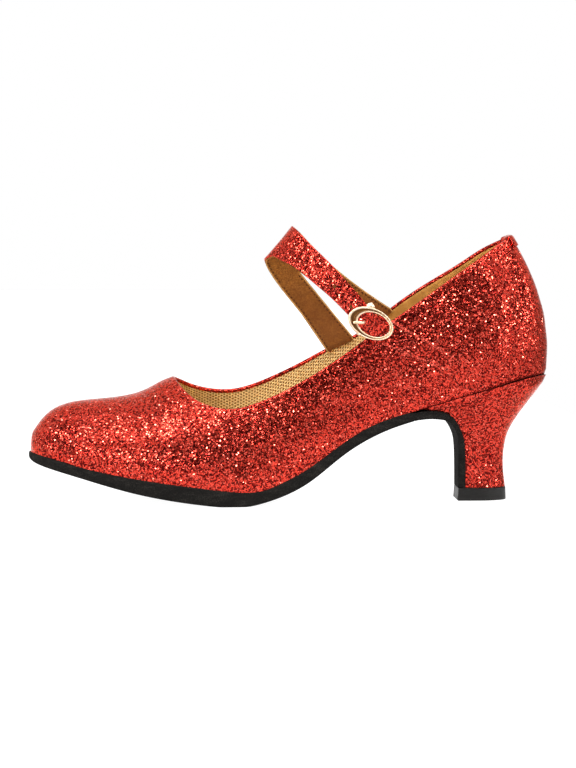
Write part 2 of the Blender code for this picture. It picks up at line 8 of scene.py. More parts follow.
import bmesh
import bpy
import mathutils
import numpy as np
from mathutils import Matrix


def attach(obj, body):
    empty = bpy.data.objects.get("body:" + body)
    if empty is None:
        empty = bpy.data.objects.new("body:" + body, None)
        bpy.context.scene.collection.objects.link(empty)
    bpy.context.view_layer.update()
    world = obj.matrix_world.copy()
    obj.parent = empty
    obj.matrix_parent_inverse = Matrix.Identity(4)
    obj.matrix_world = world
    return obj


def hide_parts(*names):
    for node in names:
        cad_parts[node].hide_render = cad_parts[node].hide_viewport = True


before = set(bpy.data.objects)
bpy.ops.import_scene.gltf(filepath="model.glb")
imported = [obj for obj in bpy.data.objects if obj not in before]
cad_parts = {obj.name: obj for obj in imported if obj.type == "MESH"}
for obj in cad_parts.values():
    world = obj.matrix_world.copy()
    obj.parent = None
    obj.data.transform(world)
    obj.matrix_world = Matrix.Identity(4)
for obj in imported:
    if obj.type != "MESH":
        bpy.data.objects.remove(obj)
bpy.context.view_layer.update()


# Insole. A fibre board cut to the sole of the foot, padded with thin foam and covered with honeycomb mesh.
# It is glued in last on the real shoe, but the rest stands round it, from the toe to the heel seat.
MM = 0.001
SHOE_ORIGIN = np.array((-118.98, 1.25, 0.0))
SHOE_LENGTH = 238.0
INSOLE_INSET = 2.0
INSOLE_LIFT = 0.15
INSOLE_THICK = 2.2
INSOLE_CROWN = 0.5
INSOLE_SQUARE = (0.3, 0.5)
INSOLE_END = 0.02
INSOLE_LEAST = 0.05
WELD = 0.004
BEVEL_FROM = math.radians(50)
MESH_PITCH = 1.55
SINE_60 = 0.866
MESH_LIGHT = (1.0, 0.72, 0.33)
MESH_DARK = (0.32, 0.145, 0.033)
MESH_SOIL = (0.42, 0.25, 0.08)
MESH_SOIL_SHARE = 0.2
MESH_PIT = (-0.4, 1.5)
MESH_DEPTH = 0.4
YARN_SIZE = 0.35
SOIL_SIZE = 14.0
# Feather line in plan: station, half width on the outer side, half width on the inner side.
OUTLINE = (
    (0, -3.0, 3.0), (2, 6.4, 12.4), (7, 13.8, 19.6), (18, 22.3, 27.0), (36, 30.0, 32.6), (58, 35.8, 35.6),
    (80, 38.3, 35.0), (100, 37.3, 30.6), (122, 32.3, 25.0), (146, 27.3, 22.4), (172, 25.0, 23.5),
    (198, 25.5, 25.5), (216, 23.5, 23.5), (229, 16.9, 16.9), (236, 8.4, 8.4), (238, 0.0, 0.0),
)
# Side view: station, height of the feather line, height of the underside of the sole.
PROFILE = (
    (0, 22.8, 19.4), (13, 20.0, 14.8), (24, 17.2, 12.0), (46, 13.0, 6.3), (67, 10.0, 2.4), (84, 7.9, 0.3),
    (99, 6.6, 0.0), (106, 7.2, 1.4), (116, 11.0, 4.6), (127, 16.8, 10.1), (143, 28.1, 22.3),
    (154, 34.7, 29.2), (165, 39.2, 34.2), (176, 42.4, 37.8), (193, 47.6, 43.0), (211, 52.5, 48.0),
    (225, 56.3, 52.0), (238, 57.8, 53.0),
)


def natural_spline(knots, values):
    """Natural cubic spline through the points (knots, values), returned as a function."""
    x = np.asarray(knots, float)
    y = np.asarray(values, float)
    h = np.diff(x)
    system = np.eye(len(x))
    right = np.zeros(len(x))
    for i in range(1, len(x) - 1):
        system[i, i - 1:i + 2] = h[i - 1], 2 * (h[i - 1] + h[i]), h[i]
        right[i] = 6 * ((y[i + 1] - y[i]) / h[i] - (y[i] - y[i - 1]) / h[i - 1])
    bend = np.linalg.solve(system, right)

    def at(q):
        q = np.clip(np.asarray(q, float), x[0], x[-1])
        i = np.clip(np.searchsorted(x, q) - 1, 0, len(x) - 2)
        a = (x[i + 1] - q) / h[i]
        b = 1 - a
        curve = ((a ** 3 - a) * bend[i] + (b ** 3 - b) * bend[i + 1]) * h[i] ** 2 / 6
        return a * y[i] + b * y[i + 1] + curve

    return at


def turn(s):
    """Angle of a station: 0 at the toe tip, pi at the back of the heel, so that both ends come out round."""
    return np.arccos(np.clip(1 - 2 * np.asarray(s, float) / SHOE_LENGTH, -1, 1))


def station(u):
    """Station of an angle, the inverse of turn."""
    return (1 - np.cos(u)) * SHOE_LENGTH / 2


def columns(table):
    """One spline per column of a table whose first column is the station."""
    rows = np.array(table, float)
    return [natural_spline(turn(rows[:, 0]), rows[:, k]) for k in range(1, rows.shape[1])]


outline_outer, outline_inner = columns(OUTLINE)
feather_z, under_z = columns(PROFILE)


def half_width(side, s):
    """Distance of the feather line from the long axis; side is -1 on the outer side, 1 on the inner side."""
    return (outline_outer if side < 0 else outline_inner)(turn(s))


def signed_power(x, power):
    """Power of the size of x, with the sign of x: it squares off a circle into a rounded box."""
    return np.sign(x) * np.abs(x) ** power


def unit(vectors):
    """Vectors scaled to length 1 along the last axis."""
    return vectors / np.maximum(np.linalg.norm(vectors, axis=-1, keepdims=True), 1e-12)


def smooth(x, low, high):
    """Smooth step from 0 at low to 1 at high."""
    t = np.clip((np.asarray(x, float) - low) / (high - low), 0, 1)
    return t * t * (3 - 2 * t)


def capped(grid):
    """The grid with each end row drawn in to its middle point, which closes both ends of a tube."""
    first = np.broadcast_to(grid[:1].mean(1, keepdims=True), grid[:1].shape)
    last = np.broadcast_to(grid[-1:].mean(1, keepdims=True), grid[-1:].shape)
    return np.concatenate([first, grid, last])


def piece(name, sheets, material, nodes=(), wall=0.0, side=-1.0, edge=0.0, closed=False, sharp=50.0,
          seam=None):
    """Mesh object of sheets, each a grid of points in millimetres and whether its faces are turned over.

    Neighbouring points become quads, and equal points are merged, which closes seams and poles. The cloth
    map holds the lengths along both directions of the grid, and seam marks with 1 the points of the dark
    seam line, which is glue darkened further as painted shade in the notch.
    A wall thickens the sheet; an edge rounds it.
    """
    points = []
    quads = []
    lengths = []
    count = 0
    for grid, flip in sheets:
        rows, cols = grid.shape[:2]
        first = count + np.arange(rows - 1)[:, None] * cols + np.arange(cols - 1)[None, :]
        quad = np.stack([first, first + 1, first + cols + 1, first + cols], -1).reshape(-1, 4)
        quads.append(quad[:, ::-1] if flip else quad)
        down = np.linalg.norm(np.diff(grid, axis=0), axis=-1).mean(1)
        across = np.linalg.norm(np.diff(grid, axis=1), axis=-1)
        u = np.concatenate([[0.0], np.cumsum(down)])[:, None] * np.ones((1, cols))
        v = np.concatenate([np.zeros((rows, 1)), np.cumsum(across, axis=1)], axis=1)
        points.append(grid.reshape(-1, 3))
        lengths.append(np.stack([u, v], -1).reshape(-1, 2))
        count += rows * cols
    quads = np.concatenate(quads)
    mesh = bpy.data.meshes.new(name)
    mesh.from_pydata(((np.concatenate(points) + SHOE_ORIGIN) * MM).tolist(), [], quads.tolist())
    cloth = mesh.uv_layers.new(name="cloth")
    cloth.data.foreach_set("uv", (np.concatenate(lengths)[quads.ravel()] * MM).astype(np.float32).ravel())
    if seam is not None:
        marks = mesh.attributes.new("seam", "FLOAT", "POINT")
        marks.data.foreach_set("value", seam.astype(np.float32).ravel())
    shape = bmesh.new()
    shape.from_mesh(mesh)
    bmesh.ops.remove_doubles(shape, verts=shape.verts, dist=WELD * MM)
    if closed:
        bmesh.ops.recalc_face_normals(shape, faces=shape.faces)
    shape.to_mesh(mesh)
    shape.free()
    mesh.shade_smooth()
    mesh.set_sharp_from_angle(angle=math.radians(sharp))
    mesh.materials.append(material)
    obj = bpy.data.objects.new(name, mesh)
    bpy.context.scene.collection.objects.link(obj)
    if wall:
        thick = obj.modifiers.new("thickness", "SOLIDIFY")
        thick.thickness = wall * MM
        thick.offset = side
        thick.use_quality_normals = True
    if edge:
        bevel = obj.modifiers.new("rounding", "BEVEL")
        bevel.width = edge * MM
        bevel.segments = 2
        bevel.limit_method = "ANGLE"
        bevel.angle_limit = BEVEL_FROM
    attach(obj, "root")
    if nodes:
        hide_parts(*nodes)
    return obj


class Finish:
    """A socket of a material's node tree. Arithmetic on it adds Math nodes; node adds any other node."""

    def __init__(self, tree, socket):
        self.tree = tree
        self.socket = socket

    def node(self, kind, settings, sockets, out=0):
        """Adds a node of a kind: its settings first, then values or links for its sockets."""
        made = self.tree.nodes.new(kind)
        for key, value in settings.items():
            if key == "stops":
                made.color_ramp.elements[0].position = value[0][0]
                made.color_ramp.elements[1].position = value[-1][0]
                for place, _ in value[1:-1]:
                    made.color_ramp.elements.new(place)
                for element, (_, colour) in zip(made.color_ramp.elements, value):
                    element.color = (*colour, 1.0)
            else:
                setattr(made, key, value)
        for key, value in sockets.items():
            if isinstance(value, Finish):
                self.tree.links.new(value.socket, made.inputs[key])
            else:
                made.inputs[key].default_value = value
        return Finish(self.tree, made.outputs[out])

    def math(self, operation, *values):
        return self.node("ShaderNodeMath", {"operation": operation}, dict(enumerate(values)))

    def __add__(self, other):
        return self.math("ADD", self, other)

    __radd__ = __add__

    def __sub__(self, other):
        return self.math("SUBTRACT", self, other)

    def __rsub__(self, other):
        return self.math("SUBTRACT", other, self)

    def __mul__(self, other):
        return self.math("MULTIPLY", self, other)

    __rmul__ = __mul__

    def cosine(self):
        return self.math("COSINE", self)

    def rise(self, low, high):
        """Smooth step of the value from 0 at low to 1 at high."""
        return self.node("ShaderNodeMapRange", {"interpolation_type": "SMOOTHSTEP"},
                         {0: self, 1: low, 2: high})

    def blend(self, low, high):
        """Colour between low and high by this value."""
        low = low if isinstance(low, Finish) else (*low, 1.0)
        high = high if isinstance(high, Finish) else (*high, 1.0)
        return self.node("ShaderNodeMix", {"data_type": "RGBA"}, {0: self, 6: low, 7: high}, 2)

    def ramp(self, *stops):
        """Colour from the stops, each a place and a colour."""
        return self.node("ShaderNodeValToRGB", {"stops": stops}, {0: self})

    def noise(self, size, detail=2.0, rough=0.5):
        """Cloudy noise on this point, with clouds of about the size in millimetres."""
        sockets = {"Vector": self, "Scale": 1 / (size * MM), "Detail": detail, "Roughness": rough}
        return self.node("ShaderNodeTexNoise", {}, sockets)

    def stretched(self, *factors):
        """The point with each direction scaled, which draws a pattern out."""
        return self.node("ShaderNodeMapping", {"vector_type": "POINT"}, {"Vector": self, "Scale": factors})

    def part(self, name):
        """One number of a colour or of a point: X, Y or Z."""
        return self.node("ShaderNodeSeparateXYZ", {}, {0: self}, name)

    def bump(self, depth, normal=None):
        """Normal of the surface raised by this height times the depth in millimetres."""
        sockets = {"Height": self, "Distance": depth * MM, "Strength": 1.0}
        if normal:
            sockets["Normal"] = normal
        return self.node("ShaderNodeBump", {}, sockets, "Normal")


def new_finish(name):
    """Material under way: the material, the point in metres and the piece's own cloth map in metres."""
    material = bpy.data.materials.new(name)
    material.use_nodes = True
    tree = material.node_tree
    place = tree.nodes.new("ShaderNodeTexCoord")
    return material, Finish(tree, place.outputs["Object"]), Finish(tree, place.outputs["UV"])


def set_finish(material, **values):
    """Sets the shader's sockets, named with _ for a blank: links for what varies, numbers for the rest."""
    shader = material.node_tree.nodes["Principled BSDF"]
    for name, value in values.items():
        socket = shader.inputs[name.replace("_", " ")]
        if isinstance(value, Finish):
            material.node_tree.links.new(value.socket, socket)
        else:
            socket.default_value = value
    return material


def honeycomb_mesh(name):
    """Spacer mesh: three waves at 60 degrees make rows of pits, over a fine yarn noise and soft soiling."""
    material, point, cloth = new_finish(name)
    u = cloth.part("X")
    v = cloth.part("Y")
    wave = 4 * math.pi / (math.sqrt(3) * MESH_PITCH * MM)
    cells = (u * wave).cosine() + (u * (wave / 2) + v * (wave * SINE_60)).cosine()
    cells = cells + (u * (wave / 2) - v * (wave * SINE_60)).cosine()
    pit = cells.rise(*MESH_PIT)
    yarn = point.noise(YARN_SIZE, 2.0)
    soil = point.noise(SOIL_SIZE, 3.0)
    colour = pit.blend(MESH_LIGHT, MESH_DARK)
    colour = (soil * MESH_SOIL_SHARE).blend(colour, MESH_SOIL)
    normal = (yarn * 0.25 - pit).bump(MESH_DEPTH)
    return set_finish(material, Base_Color=colour, Roughness=0.75 + yarn * 0.2, Normal=normal,
                      Specular_IOR_Level=0.2)


def insole_grid(rows, cols):
    """Rounded section carried along the shoe: a squared oval as wide as the inside of the upper."""
    u = np.linspace(INSOLE_END, math.pi - INSOLE_END, rows)[:, None]
    t = np.linspace(0, 2 * math.pi, cols)[None, :]
    s = station(u)
    place = s + INSOLE_INSET * np.cos(u) + 0 * t
    outer = half_width(-1, s) - INSOLE_INSET * np.sin(u)
    inner = half_width(1, s) - INSOLE_INSET * np.sin(u)
    half = np.maximum((outer + inner) / 2, INSOLE_LEAST)
    y = (inner - outer) / 2 + half * signed_power(np.cos(t), INSOLE_SQUARE[0])
    top = INSOLE_THICK / 2 * signed_power(np.sin(t), INSOLE_SQUARE[1])
    top = top + INSOLE_CROWN * np.maximum(np.sin(t), 0) ** 2
    z = feather_z(turn(place)) + INSOLE_LIFT + INSOLE_THICK / 2 + top
    return np.stack([place, y, z], -1)


mesh_cover = honeycomb_mesh("insole_mesh")
piece("insole_cover", [(capped(insole_grid(150, 73)), False)], mesh_cover, ["insole"], closed=True)


# Lining. Honeycomb mesh inside the vamp and the waist, and brown microsuede inside the counter, where the
# foot must not slip. The microsuede laps over the mesh, and both end under the turned-in topline.
WALL = 1.8
THROAT = 65.4
FOLD = 0.9
TOE_OFFSET = 3.0
TOE_OFFSET_END = 130.0
FAN_START = 195.0
FAN_REACH = 11.0
LINING_DEPTH = 1.66
LINING_THICK = 0.35
COUNTER_DEPTH = 1.78
COUNTER_FRONT = 163.0
COUNTER_LAP = 3.0
MESH_FRONT = 6.0
LINING_LOW = 0.01
RIB_RUN = 18.0
RIB_COUNTS = (76, 44, 132)
RIB_APART = 0.2
STEP_ALONG = 0.05
STEP_UP = 0.01
BROWN_LIGHT = (0.66, 0.34, 0.085)
BROWN_DARK = (0.40, 0.18, 0.035)
# Crown of the last above the feather line: station, rise, peak exponent, outward bulge of the wall.
CROWN = (
    (0, 0.0, 0.90, 0.0), (0.6, 7.6, 0.90, 0.3), (2, 10.8, 0.92, 0.5), (7, 18.0, 0.95, 0.8),
    (14, 24.0, 0.97, 1.1), (28, 30.2, 1.0, 1.4), (43, 34.7, 1.05, 1.7), (54, 39.8, 1.12, 1.9),
    (60.5, 44.2, 1.17, 2.0), (66.2, 47.2, 1.20, 2.0), (82, 55.5, 1.20, 2.0), (105, 67.0, 1.15, 1.9),
    (130, 78.0, 1.1, 1.5), (160, 89.0, 1.1, 1.2), (190, 92.0, 1.25, 1.3), (216, 87.0, 1.6, 2.9),
    (238, 80.0, 2.45, 5.6),
)
# Topline on the outer side and on the inner side: station, height.
TOPLINE_OUTER = (
    (71, 51.9), (78, 47.2), (84, 45.1), (90, 44.2), (96, 44.6), (103, 46.5), (112, 50.0),
    (123, 55.4), (137, 63.6), (150, 72.6), (164, 82.4), (177, 91.3), (191, 101.4), (203, 109.6),
    (215, 116.2), (227, 120.3), (238, 121.8),
)
TOPLINE_INNER = (
    (72.6, 54.0), (80, 51.5), (87.6, 50.4), (95, 50.7), (103, 52.8), (114, 57.3), (125, 62.6),
    (139, 70.0), (152, 76.3), (169, 89.1), (182, 98.2), (196, 106.7), (208, 113.9), (220, 118.6),
    (230, 121.0), (238, 121.8),
)
crown_rise, crown_peak, wall_bulge = columns(CROWN)
throat_end = (THROAT, float(feather_z(turn(THROAT)) + crown_rise(turn(THROAT))) + FOLD)
topline_z = {side: columns((throat_end, *table))[0]
             for side, table in ((-1, TOPLINE_OUTER), (1, TOPLINE_INNER))}


def ridge_y(s):
    """Sideways place of the crown, which swings to the inner side at the toe."""
    return TOE_OFFSET * (1 - smooth(s, 0, TOE_OFFSET_END))


def crown(side, s, a):
    """Last at a station and an angle up its rib, from the feather line (a = 0) to the ridge (a = pi / 2).

    Each rib is an oval arch: it rises by H sin(a) and closes in by W (1 - cos(a)^e) - b sin(2a).
    """
    u = turn(s)
    base_y = side * half_width(side, s)
    spine_s = np.minimum(s, FAN_START) + FAN_REACH * np.tanh(np.maximum(s - FAN_START, 0) / FAN_REACH)
    way_s = spine_s - s
    way_y = ridge_y(s) - base_y
    reach = np.hypot(way_s, way_y)
    safe = np.maximum(reach, 1e-9)
    close = reach * (1 - np.maximum(np.cos(a), 0) ** crown_peak(u)) - wall_bulge(u) * np.sin(2 * a)
    z = feather_z(u) + np.maximum(crown_rise(u), 0) * np.sin(a)
    return np.stack([s + way_s / safe * close, base_y + way_y / safe * close, z], -1)


def rib_angle(side, s, v):
    """Angle up the rib at a share v of the way to the ridge, or behind the throat to the fold line."""
    u = turn(s)
    share = (topline_z[side](u) - FOLD - feather_z(u)) / np.maximum(crown_rise(u), 1e-9)
    return np.where(s <= THROAT, math.pi / 2, np.arcsin(np.clip(share, 0, 1))) * v


def skin(side, s, v):
    """Outer face of the upper, from the feather line (v = 0) to the ridge or the fold line (v = 1)."""
    s, v = np.broadcast_arrays(np.asarray(s, float), np.asarray(v, float))
    return crown(side, s, rib_angle(side, s, v))


def outward(side, s, v):
    """Outward normal of the skin, from small steps along the shoe and up the rib.

    At the last rib, where both sides meet, it points straight back.
    """
    s, v = np.broadcast_arrays(np.asarray(s, float), np.asarray(v, float))
    a = rib_angle(side, s, v)
    ahead = crown(side, np.maximum(s - STEP_ALONG, 0), a)
    along = crown(side, np.minimum(s + STEP_ALONG, SHOE_LENGTH), a) - ahead
    below = crown(side, s, np.maximum(a - STEP_UP, 0))
    up = crown(side, s, np.minimum(a + STEP_UP, math.pi / 2)) - below
    normal = side * np.cross(up, along)
    normal[..., 1] = np.where(s < SHOE_LENGTH, normal[..., 1], 0)
    return unit(normal)


def ribs(front, back):
    """Stations between two, crowded at both ends of the shoe and behind the throat."""
    behind = THROAT + RIB_RUN
    toe = station(np.linspace(0, float(turn(THROAT)), RIB_COUNTS[0]))
    throat = THROAT + RIB_RUN * np.linspace(0, 1, RIB_COUNTS[1])[1:] ** 2
    rear = station(np.linspace(float(turn(behind)), math.pi, RIB_COUNTS[2])[1:])
    every = np.concatenate([toe, throat, rear])
    between = every[(every > front + RIB_APART) & (every < back - RIB_APART)]
    return np.concatenate([[front], between, [back]])


def lining_sheets(front, back, depth, rows):
    """Inside face of the upper: the skin moved inwards by the depth, for both sides."""
    s = ribs(front, back)[:, None]
    v = np.linspace(LINING_LOW, 1.0, rows)[None, :]
    s, v = np.broadcast_arrays(s, v)
    return [(skin(side, s, v) - outward(side, s, v) * depth, side > 0) for side in (-1, 1)]


def microsuede(name):
    """Short brushed nap: clouds where it was stroked, and a fine fibre noise in colour and bump."""
    material, point, _ = new_finish(name)
    stroke = point.noise(5.0, 3.0)
    fibre = point.noise(0.4, 3.0, 0.7)
    tone = (stroke * 0.6 + fibre * 0.5).rise(0.3, 0.85)
    return set_finish(material, Base_Color=tone.blend(BROWN_DARK, BROWN_LIGHT), Roughness=0.8 + fibre * 0.2,
                      Normal=fibre.bump(0.12), Specular_IOR_Level=0.2)


brown_nap = microsuede("counter_microsuede")
mesh_lining = honeycomb_mesh("vamp_mesh")
vamp_sheets = lining_sheets(MESH_FRONT, COUNTER_FRONT + COUNTER_LAP, LINING_DEPTH, 26)
counter_sheets = lining_sheets(COUNTER_FRONT, SHOE_LENGTH, COUNTER_DEPTH, 26)
piece("vamp_lining", vamp_sheets, mesh_lining, wall=LINING_THICK, side=-1.0)
piece("counter_lining", counter_sheets, brown_nap, wall=LINING_THICK, side=-1.0)


# Upper. Red glitter cloth, pulled over the last in one piece and tucked under the sole all round. Its top
# edge is folded over the lining and glued down inside. The end of the buckle loop shows as a line of sparks:
# flakes tilted more, and painted paler as a painted highlight along the ridge it raises.
CLOTH_THICK = 0.5
TUCK = 1.6
TUCK_DROP = 0.25
TUCK_TOWARDS = (12.0, 210.0)
FOLD_DEPTH = ((65.4, 0.3), (80, 0.5), (130, 0.6), (165, 0.3), (238, 0.7))
FLAKE = 0.57
FLAKE_METAL = 0.94
FLAKE_TILT = 0.08
SPARK_TILT = 0.35
FLAKE_RED = (0.94, 0.068, 0.041)
FLAKE_MID = (0.76, 0.052, 0.031)
FLAKE_DEEP = (0.18, 0.007, 0.006)
FLAKE_GAP = (0.06, 0.003, 0.003)
FLAKE_PINK = (0.90, 0.13, 0.09)
CLUMP = 1.0
CLUMP_DEPTH = 0.8
CLUMP_FROM = (0.57, 0.66)
FLAKE_EDGE = (1.0, 0.62, 0.56, 1.0)
FLAKE_RIM = 0.12
FLAKE_ROUGH = 0.08
SPARK_FROM = (0.80, 0.84)
SPARK_SMOOTHER = 0.02
SEAM_ROUGH = 0.8
GLUE_SHEEN = 0.05
FLAKE_SHADES = (
    (0.0, FLAKE_GAP), (0.20, FLAKE_DEEP), (0.36, FLAKE_MID), (0.66, FLAKE_RED), (1.0, FLAKE_PINK),
)
# Punched strap holes, not cut but painted: dark brown as the shade inside them.
HOLE_PAINTED_SHADE = (0.10, 0.035, 0.010)
# Dark seam line: glue, darkened further as painted shade in the notch over the heel seat.
SEAM_GLUE_AND_SHADE = (0.055, 0.006, 0.005)
LOOP_END_FROM = np.array((168.2, 75.4))
LOOP_END_TO = np.array((191.4, 64.0))
LOOP_END_HALF = (4.9, 3.3)
LOOP_END_LINE = 0.45
LOOP_END_SOFT = 1.6
# Lift of the flakes on the loop end's outline: more tilt, and paler colour as a painted highlight.
LOOP_END_LIFT_AND_HIGHLIGHT = 0.45
LOOP_END_FADE = (-12.0, -4.0)
LOOP_END_Y = (-0.002, 0.0)
SEAM_DEPTH = 0.25
SEAM_HALF = 0.7
SEAM_BACK = (205, 215)
WAVE_HEIGHT = 0.07
WAVE_SUM = 1.5
WAVE_FROM = (4, 20)
RELIEF_FROM = (0, 0.06)
RELIEF_TO = (0.94, 1.0)
SEAT_NIP = 0.6
SEAM_FAINT = 0.4
SEAM_OPENS = (195, 228)
SEAM_STARTS = (172, 180)
SEAM_LINE = (0.004, 0.014)
FINE_ROWS = 0.04
NIP_REACH = 0.035
# Waves of the cloth: turn a millimetre along, turn a millimetre up, start, and the swing from side to side.
WAVES = ((0.31, 0.17, 1.0, 0.0), (0.19, -0.34, 0.0, 1.0), (-0.11, 0.47, 0.0, 0.0))


def glitter_cloth(name, ridge=None, pierced=None, bare=0.0):
    """Flakes in clear glue: each cell of a broken pattern has its own small tilt and shade of red.

    About one flake in five stands well off the surface and is paler, and these catch the lamps as sparks.
    Ridge is 1 where something under the cloth lifts more flakes: they tilt more and are painted paler, a
    painted highlight; pierced is 1 inside a punched hole, which is only painted, dark as the shade in it;
    bare widens the gaps between clumps of flakes, where the cloth is stretched.
    """
    material, point, _ = new_finish(name)
    size = {"Vector": point, "Scale": 1 / (FLAKE * MM)}
    flake = point.node("ShaderNodeTexVoronoi", {"feature": "F1"}, size, "Color")
    rim = point.node("ShaderNodeTexVoronoi", {"feature": "DISTANCE_TO_EDGE"}, size, "Distance")
    shade = flake.node("ShaderNodeTexWhiteNoise", {}, {"Vector": flake}, "Value")
    if ridge:
        # Painted highlight: flakes on the loop end's outline move up the shades, paler as well as more often
        # tilted.
        shade = shade + ridge(point) * LOOP_END_LIFT_AND_HIGHLIGHT
    spark = shade.rise(*SPARK_FROM)
    red = shade.ramp(*FLAKE_SHADES)
    clump = point.noise(CLUMP, 1.0).rise(CLUMP_FROM[0] - bare, CLUMP_FROM[1] - bare) * CLUMP_DEPTH
    colour = clump.blend(rim.rise(0.0, FLAKE_RIM).blend(FLAKE_GAP, red), FLAKE_GAP)
    lean = flake.node("ShaderNodeVectorMath", {"operation": "SUBTRACT"}, {0: flake, 1: (0.5, 0.5, 0.5)})
    tilt = 2 * FLAKE_TILT + spark * (2 * SPARK_TILT)
    lean = lean.node("ShaderNodeVectorMath", {"operation": "SCALE"}, {0: lean, "Scale": tilt})
    face = point.node("ShaderNodeNewGeometry", {}, {}, "Normal")
    leaning = face.node("ShaderNodeVectorMath", {"operation": "ADD"}, {0: face, 1: lean})
    normal = leaning.node("ShaderNodeVectorMath", {"operation": "NORMALIZE"}, {0: leaning})
    # The seam mark paints a dark line: glue, plus painted shade in the notch between the upper and the heel
    # cover.
    dark = point.node("ShaderNodeAttribute", {"attribute_name": "seam"}, {}, "Fac")
    colour = dark.blend(colour, SEAM_GLUE_AND_SHADE)
    if pierced:
        hole = pierced(point)
        # Painted shade: a punched hole is only coloured dark brown and made dull, not cut through.
        colour = hole.blend(colour, HOLE_PAINTED_SHADE)
        dark = dark + hole
    metal = FLAKE_METAL - dark * FLAKE_METAL
    rough = FLAKE_ROUGH - spark * SPARK_SMOOTHER + dark * SEAM_ROUGH
    return set_finish(material, Base_Color=colour, Metallic=metal, Roughness=rough, Normal=normal,
                      Specular_Tint=FLAKE_EDGE, Specular_IOR_Level=GLUE_SHEEN)


# Painted highlight: flakes on these lines are painted paler as well as tilted, for light on the raised edge.
def loop_end_highlight_lines(point):
    """1 on the outline of the strip that shows on the outer side: its two long edges and its lower end."""
    x = point.part("X") - (LOOP_END_FROM[0] + SHOE_ORIGIN[0]) * MM
    z = point.part("Z") - LOOP_END_FROM[1] * MM
    run = LOOP_END_TO - LOOP_END_FROM
    long = np.hypot(*run)
    along = (x * (run[0] / long) + z * (run[1] / long)) * (1 / MM)
    across = (z * (run[0] / long) - x * (run[1] / long)) * (1 / MM)
    half = LOOP_END_HALF[0] + along * ((LOOP_END_HALF[1] - LOOP_END_HALF[0]) / long)
    past_side = across.math("ABSOLUTE", across) - half
    past = past_side.math("MAXIMUM", past_side, along - long)
    line = 1 - past.math("ABSOLUTE", past).rise(LOOP_END_LINE, LOOP_END_SOFT * LOOP_END_LINE)
    return line * along.rise(*LOOP_END_FADE) * (1 - point.part("Y").rise(*LOOP_END_Y))


def relief(side, points):
    """Height added to the skin: slow waves of the cloth, and a groove along the back seam."""
    s = points[..., 0]
    y = points[..., 1]
    z = points[..., 2]
    waves = sum(np.sin(along * s + up * z + start + swing * side) for along, up, start, swing in WAVES)
    height = WAVE_HEIGHT * waves * smooth(s, *WAVE_FROM) / WAVE_SUM
    return height - SEAM_DEPTH * np.exp(-(y / SEAM_HALF) ** 2) * smooth(s, *SEAM_BACK)


def seam_share(s):
    """How open the seam over the heel is: faint under the waist, widest at the back."""
    return (SEAM_FAINT + (1 - SEAM_FAINT) * smooth(s, *SEAM_OPENS)) * smooth(s, *SEAM_STARTS)


def upper_skin(side, s, v):
    """Skin with its relief, which fades out at the feather line and the topline; nipped in over the heel."""
    normal = outward(side, s, v)
    face = skin(side, s, v)
    fade = smooth(v, *RELIEF_FROM) * (1 - smooth(v, *RELIEF_TO))
    nip = SEAT_NIP * seam_share(s) * (1 - smooth(v, 0.0, NIP_REACH))
    return face + normal * (relief(side, face) * fade - nip)[..., None]


def topline_frame():
    """Fold line round the opening, a closed loop: points, outward normals and the way over the edge."""
    s = ribs(THROAT, SHOE_LENGTH)
    one = np.ones_like(s)
    points = np.concatenate([skin(-1, s, one), skin(1, s[-2::-1], one[1:])])
    normal = np.concatenate([outward(-1, s, one), outward(1, s[-2::-1], one[1:])])
    ring = np.concatenate([points[-2:-1], points, points[1:2]])
    along = unit(ring[2:] - ring[:-2])
    over = unit(np.cross(normal, along))
    normal[0] = normal[-1] = unit(normal[0] + normal[-1])
    over[0] = over[-1] = unit(over[0] + over[-1])
    return points, normal, over


def fold_grid():
    """Folded topline: half a turn about the middle of the wall, then straight down inside."""
    points, normal, over = (x[:, None] for x in topline_frame())
    t = np.linspace(0, math.pi, 11)[None, :, None]
    roll = points - normal * WALL / 2 + WALL / 2 * (normal * np.cos(t) + over * np.sin(t))
    depth = np.interp(points[..., 0], *np.array(FOLD_DEPTH).T)[..., None]
    inside = points - normal * WALL - over * depth * np.linspace(0, 1, 7)[None, 1:, None]
    return np.concatenate([roll, inside], axis=1)


def upper_sheets():
    """Tuck under the sole, then the skin, for both sides, with a mark on the seam over the heel: glue and
    painted shade.
    """
    s = ribs(0.0, SHOE_LENGTH)[:, None]
    v = np.concatenate([np.linspace(0, FINE_ROWS, 6)[:-1], np.linspace(FINE_ROWS, 1, 46)])[None, :]
    s, v = np.broadcast_arrays(s, v)
    sheets = []
    for side in (-1, 1):
        face = upper_skin(side, s, v)
        feather = face[:, :1]
        towards = np.clip(feather[..., 0], *TUCK_TOWARDS)
        middle = np.stack([towards, 0 * feather[..., 1], feather[..., 2]], -1)
        tuck = feather + unit(middle - feather) * TUCK - (0, 0, TUCK_DROP)
        sheets.append((np.concatenate([tuck, face], axis=1), side < 0))
    seam = seam_share(s) * (1 - smooth(v, *SEAM_LINE))
    return sheets, np.concatenate([seam[:, :1], seam], axis=1)


glitter_upper = glitter_cloth("upper_glitter", ridge=loop_end_highlight_lines)
upper_sides, heel_seam_glue_and_shade = upper_sheets()
topline_fold = fold_grid()
upper_seam_glue_and_shade = np.concatenate([heel_seam_glue_and_shade.ravel(), heel_seam_glue_and_shade.ravel(), np.zeros(topline_fold[..., 0].size)])
piece("upper_cloth", upper_sides + [(topline_fold, True)], glitter_upper, ["upper"],
      wall=CLOTH_THICK, side=-1.0, sharp=70.0, seam=upper_seam_glue_and_shade)


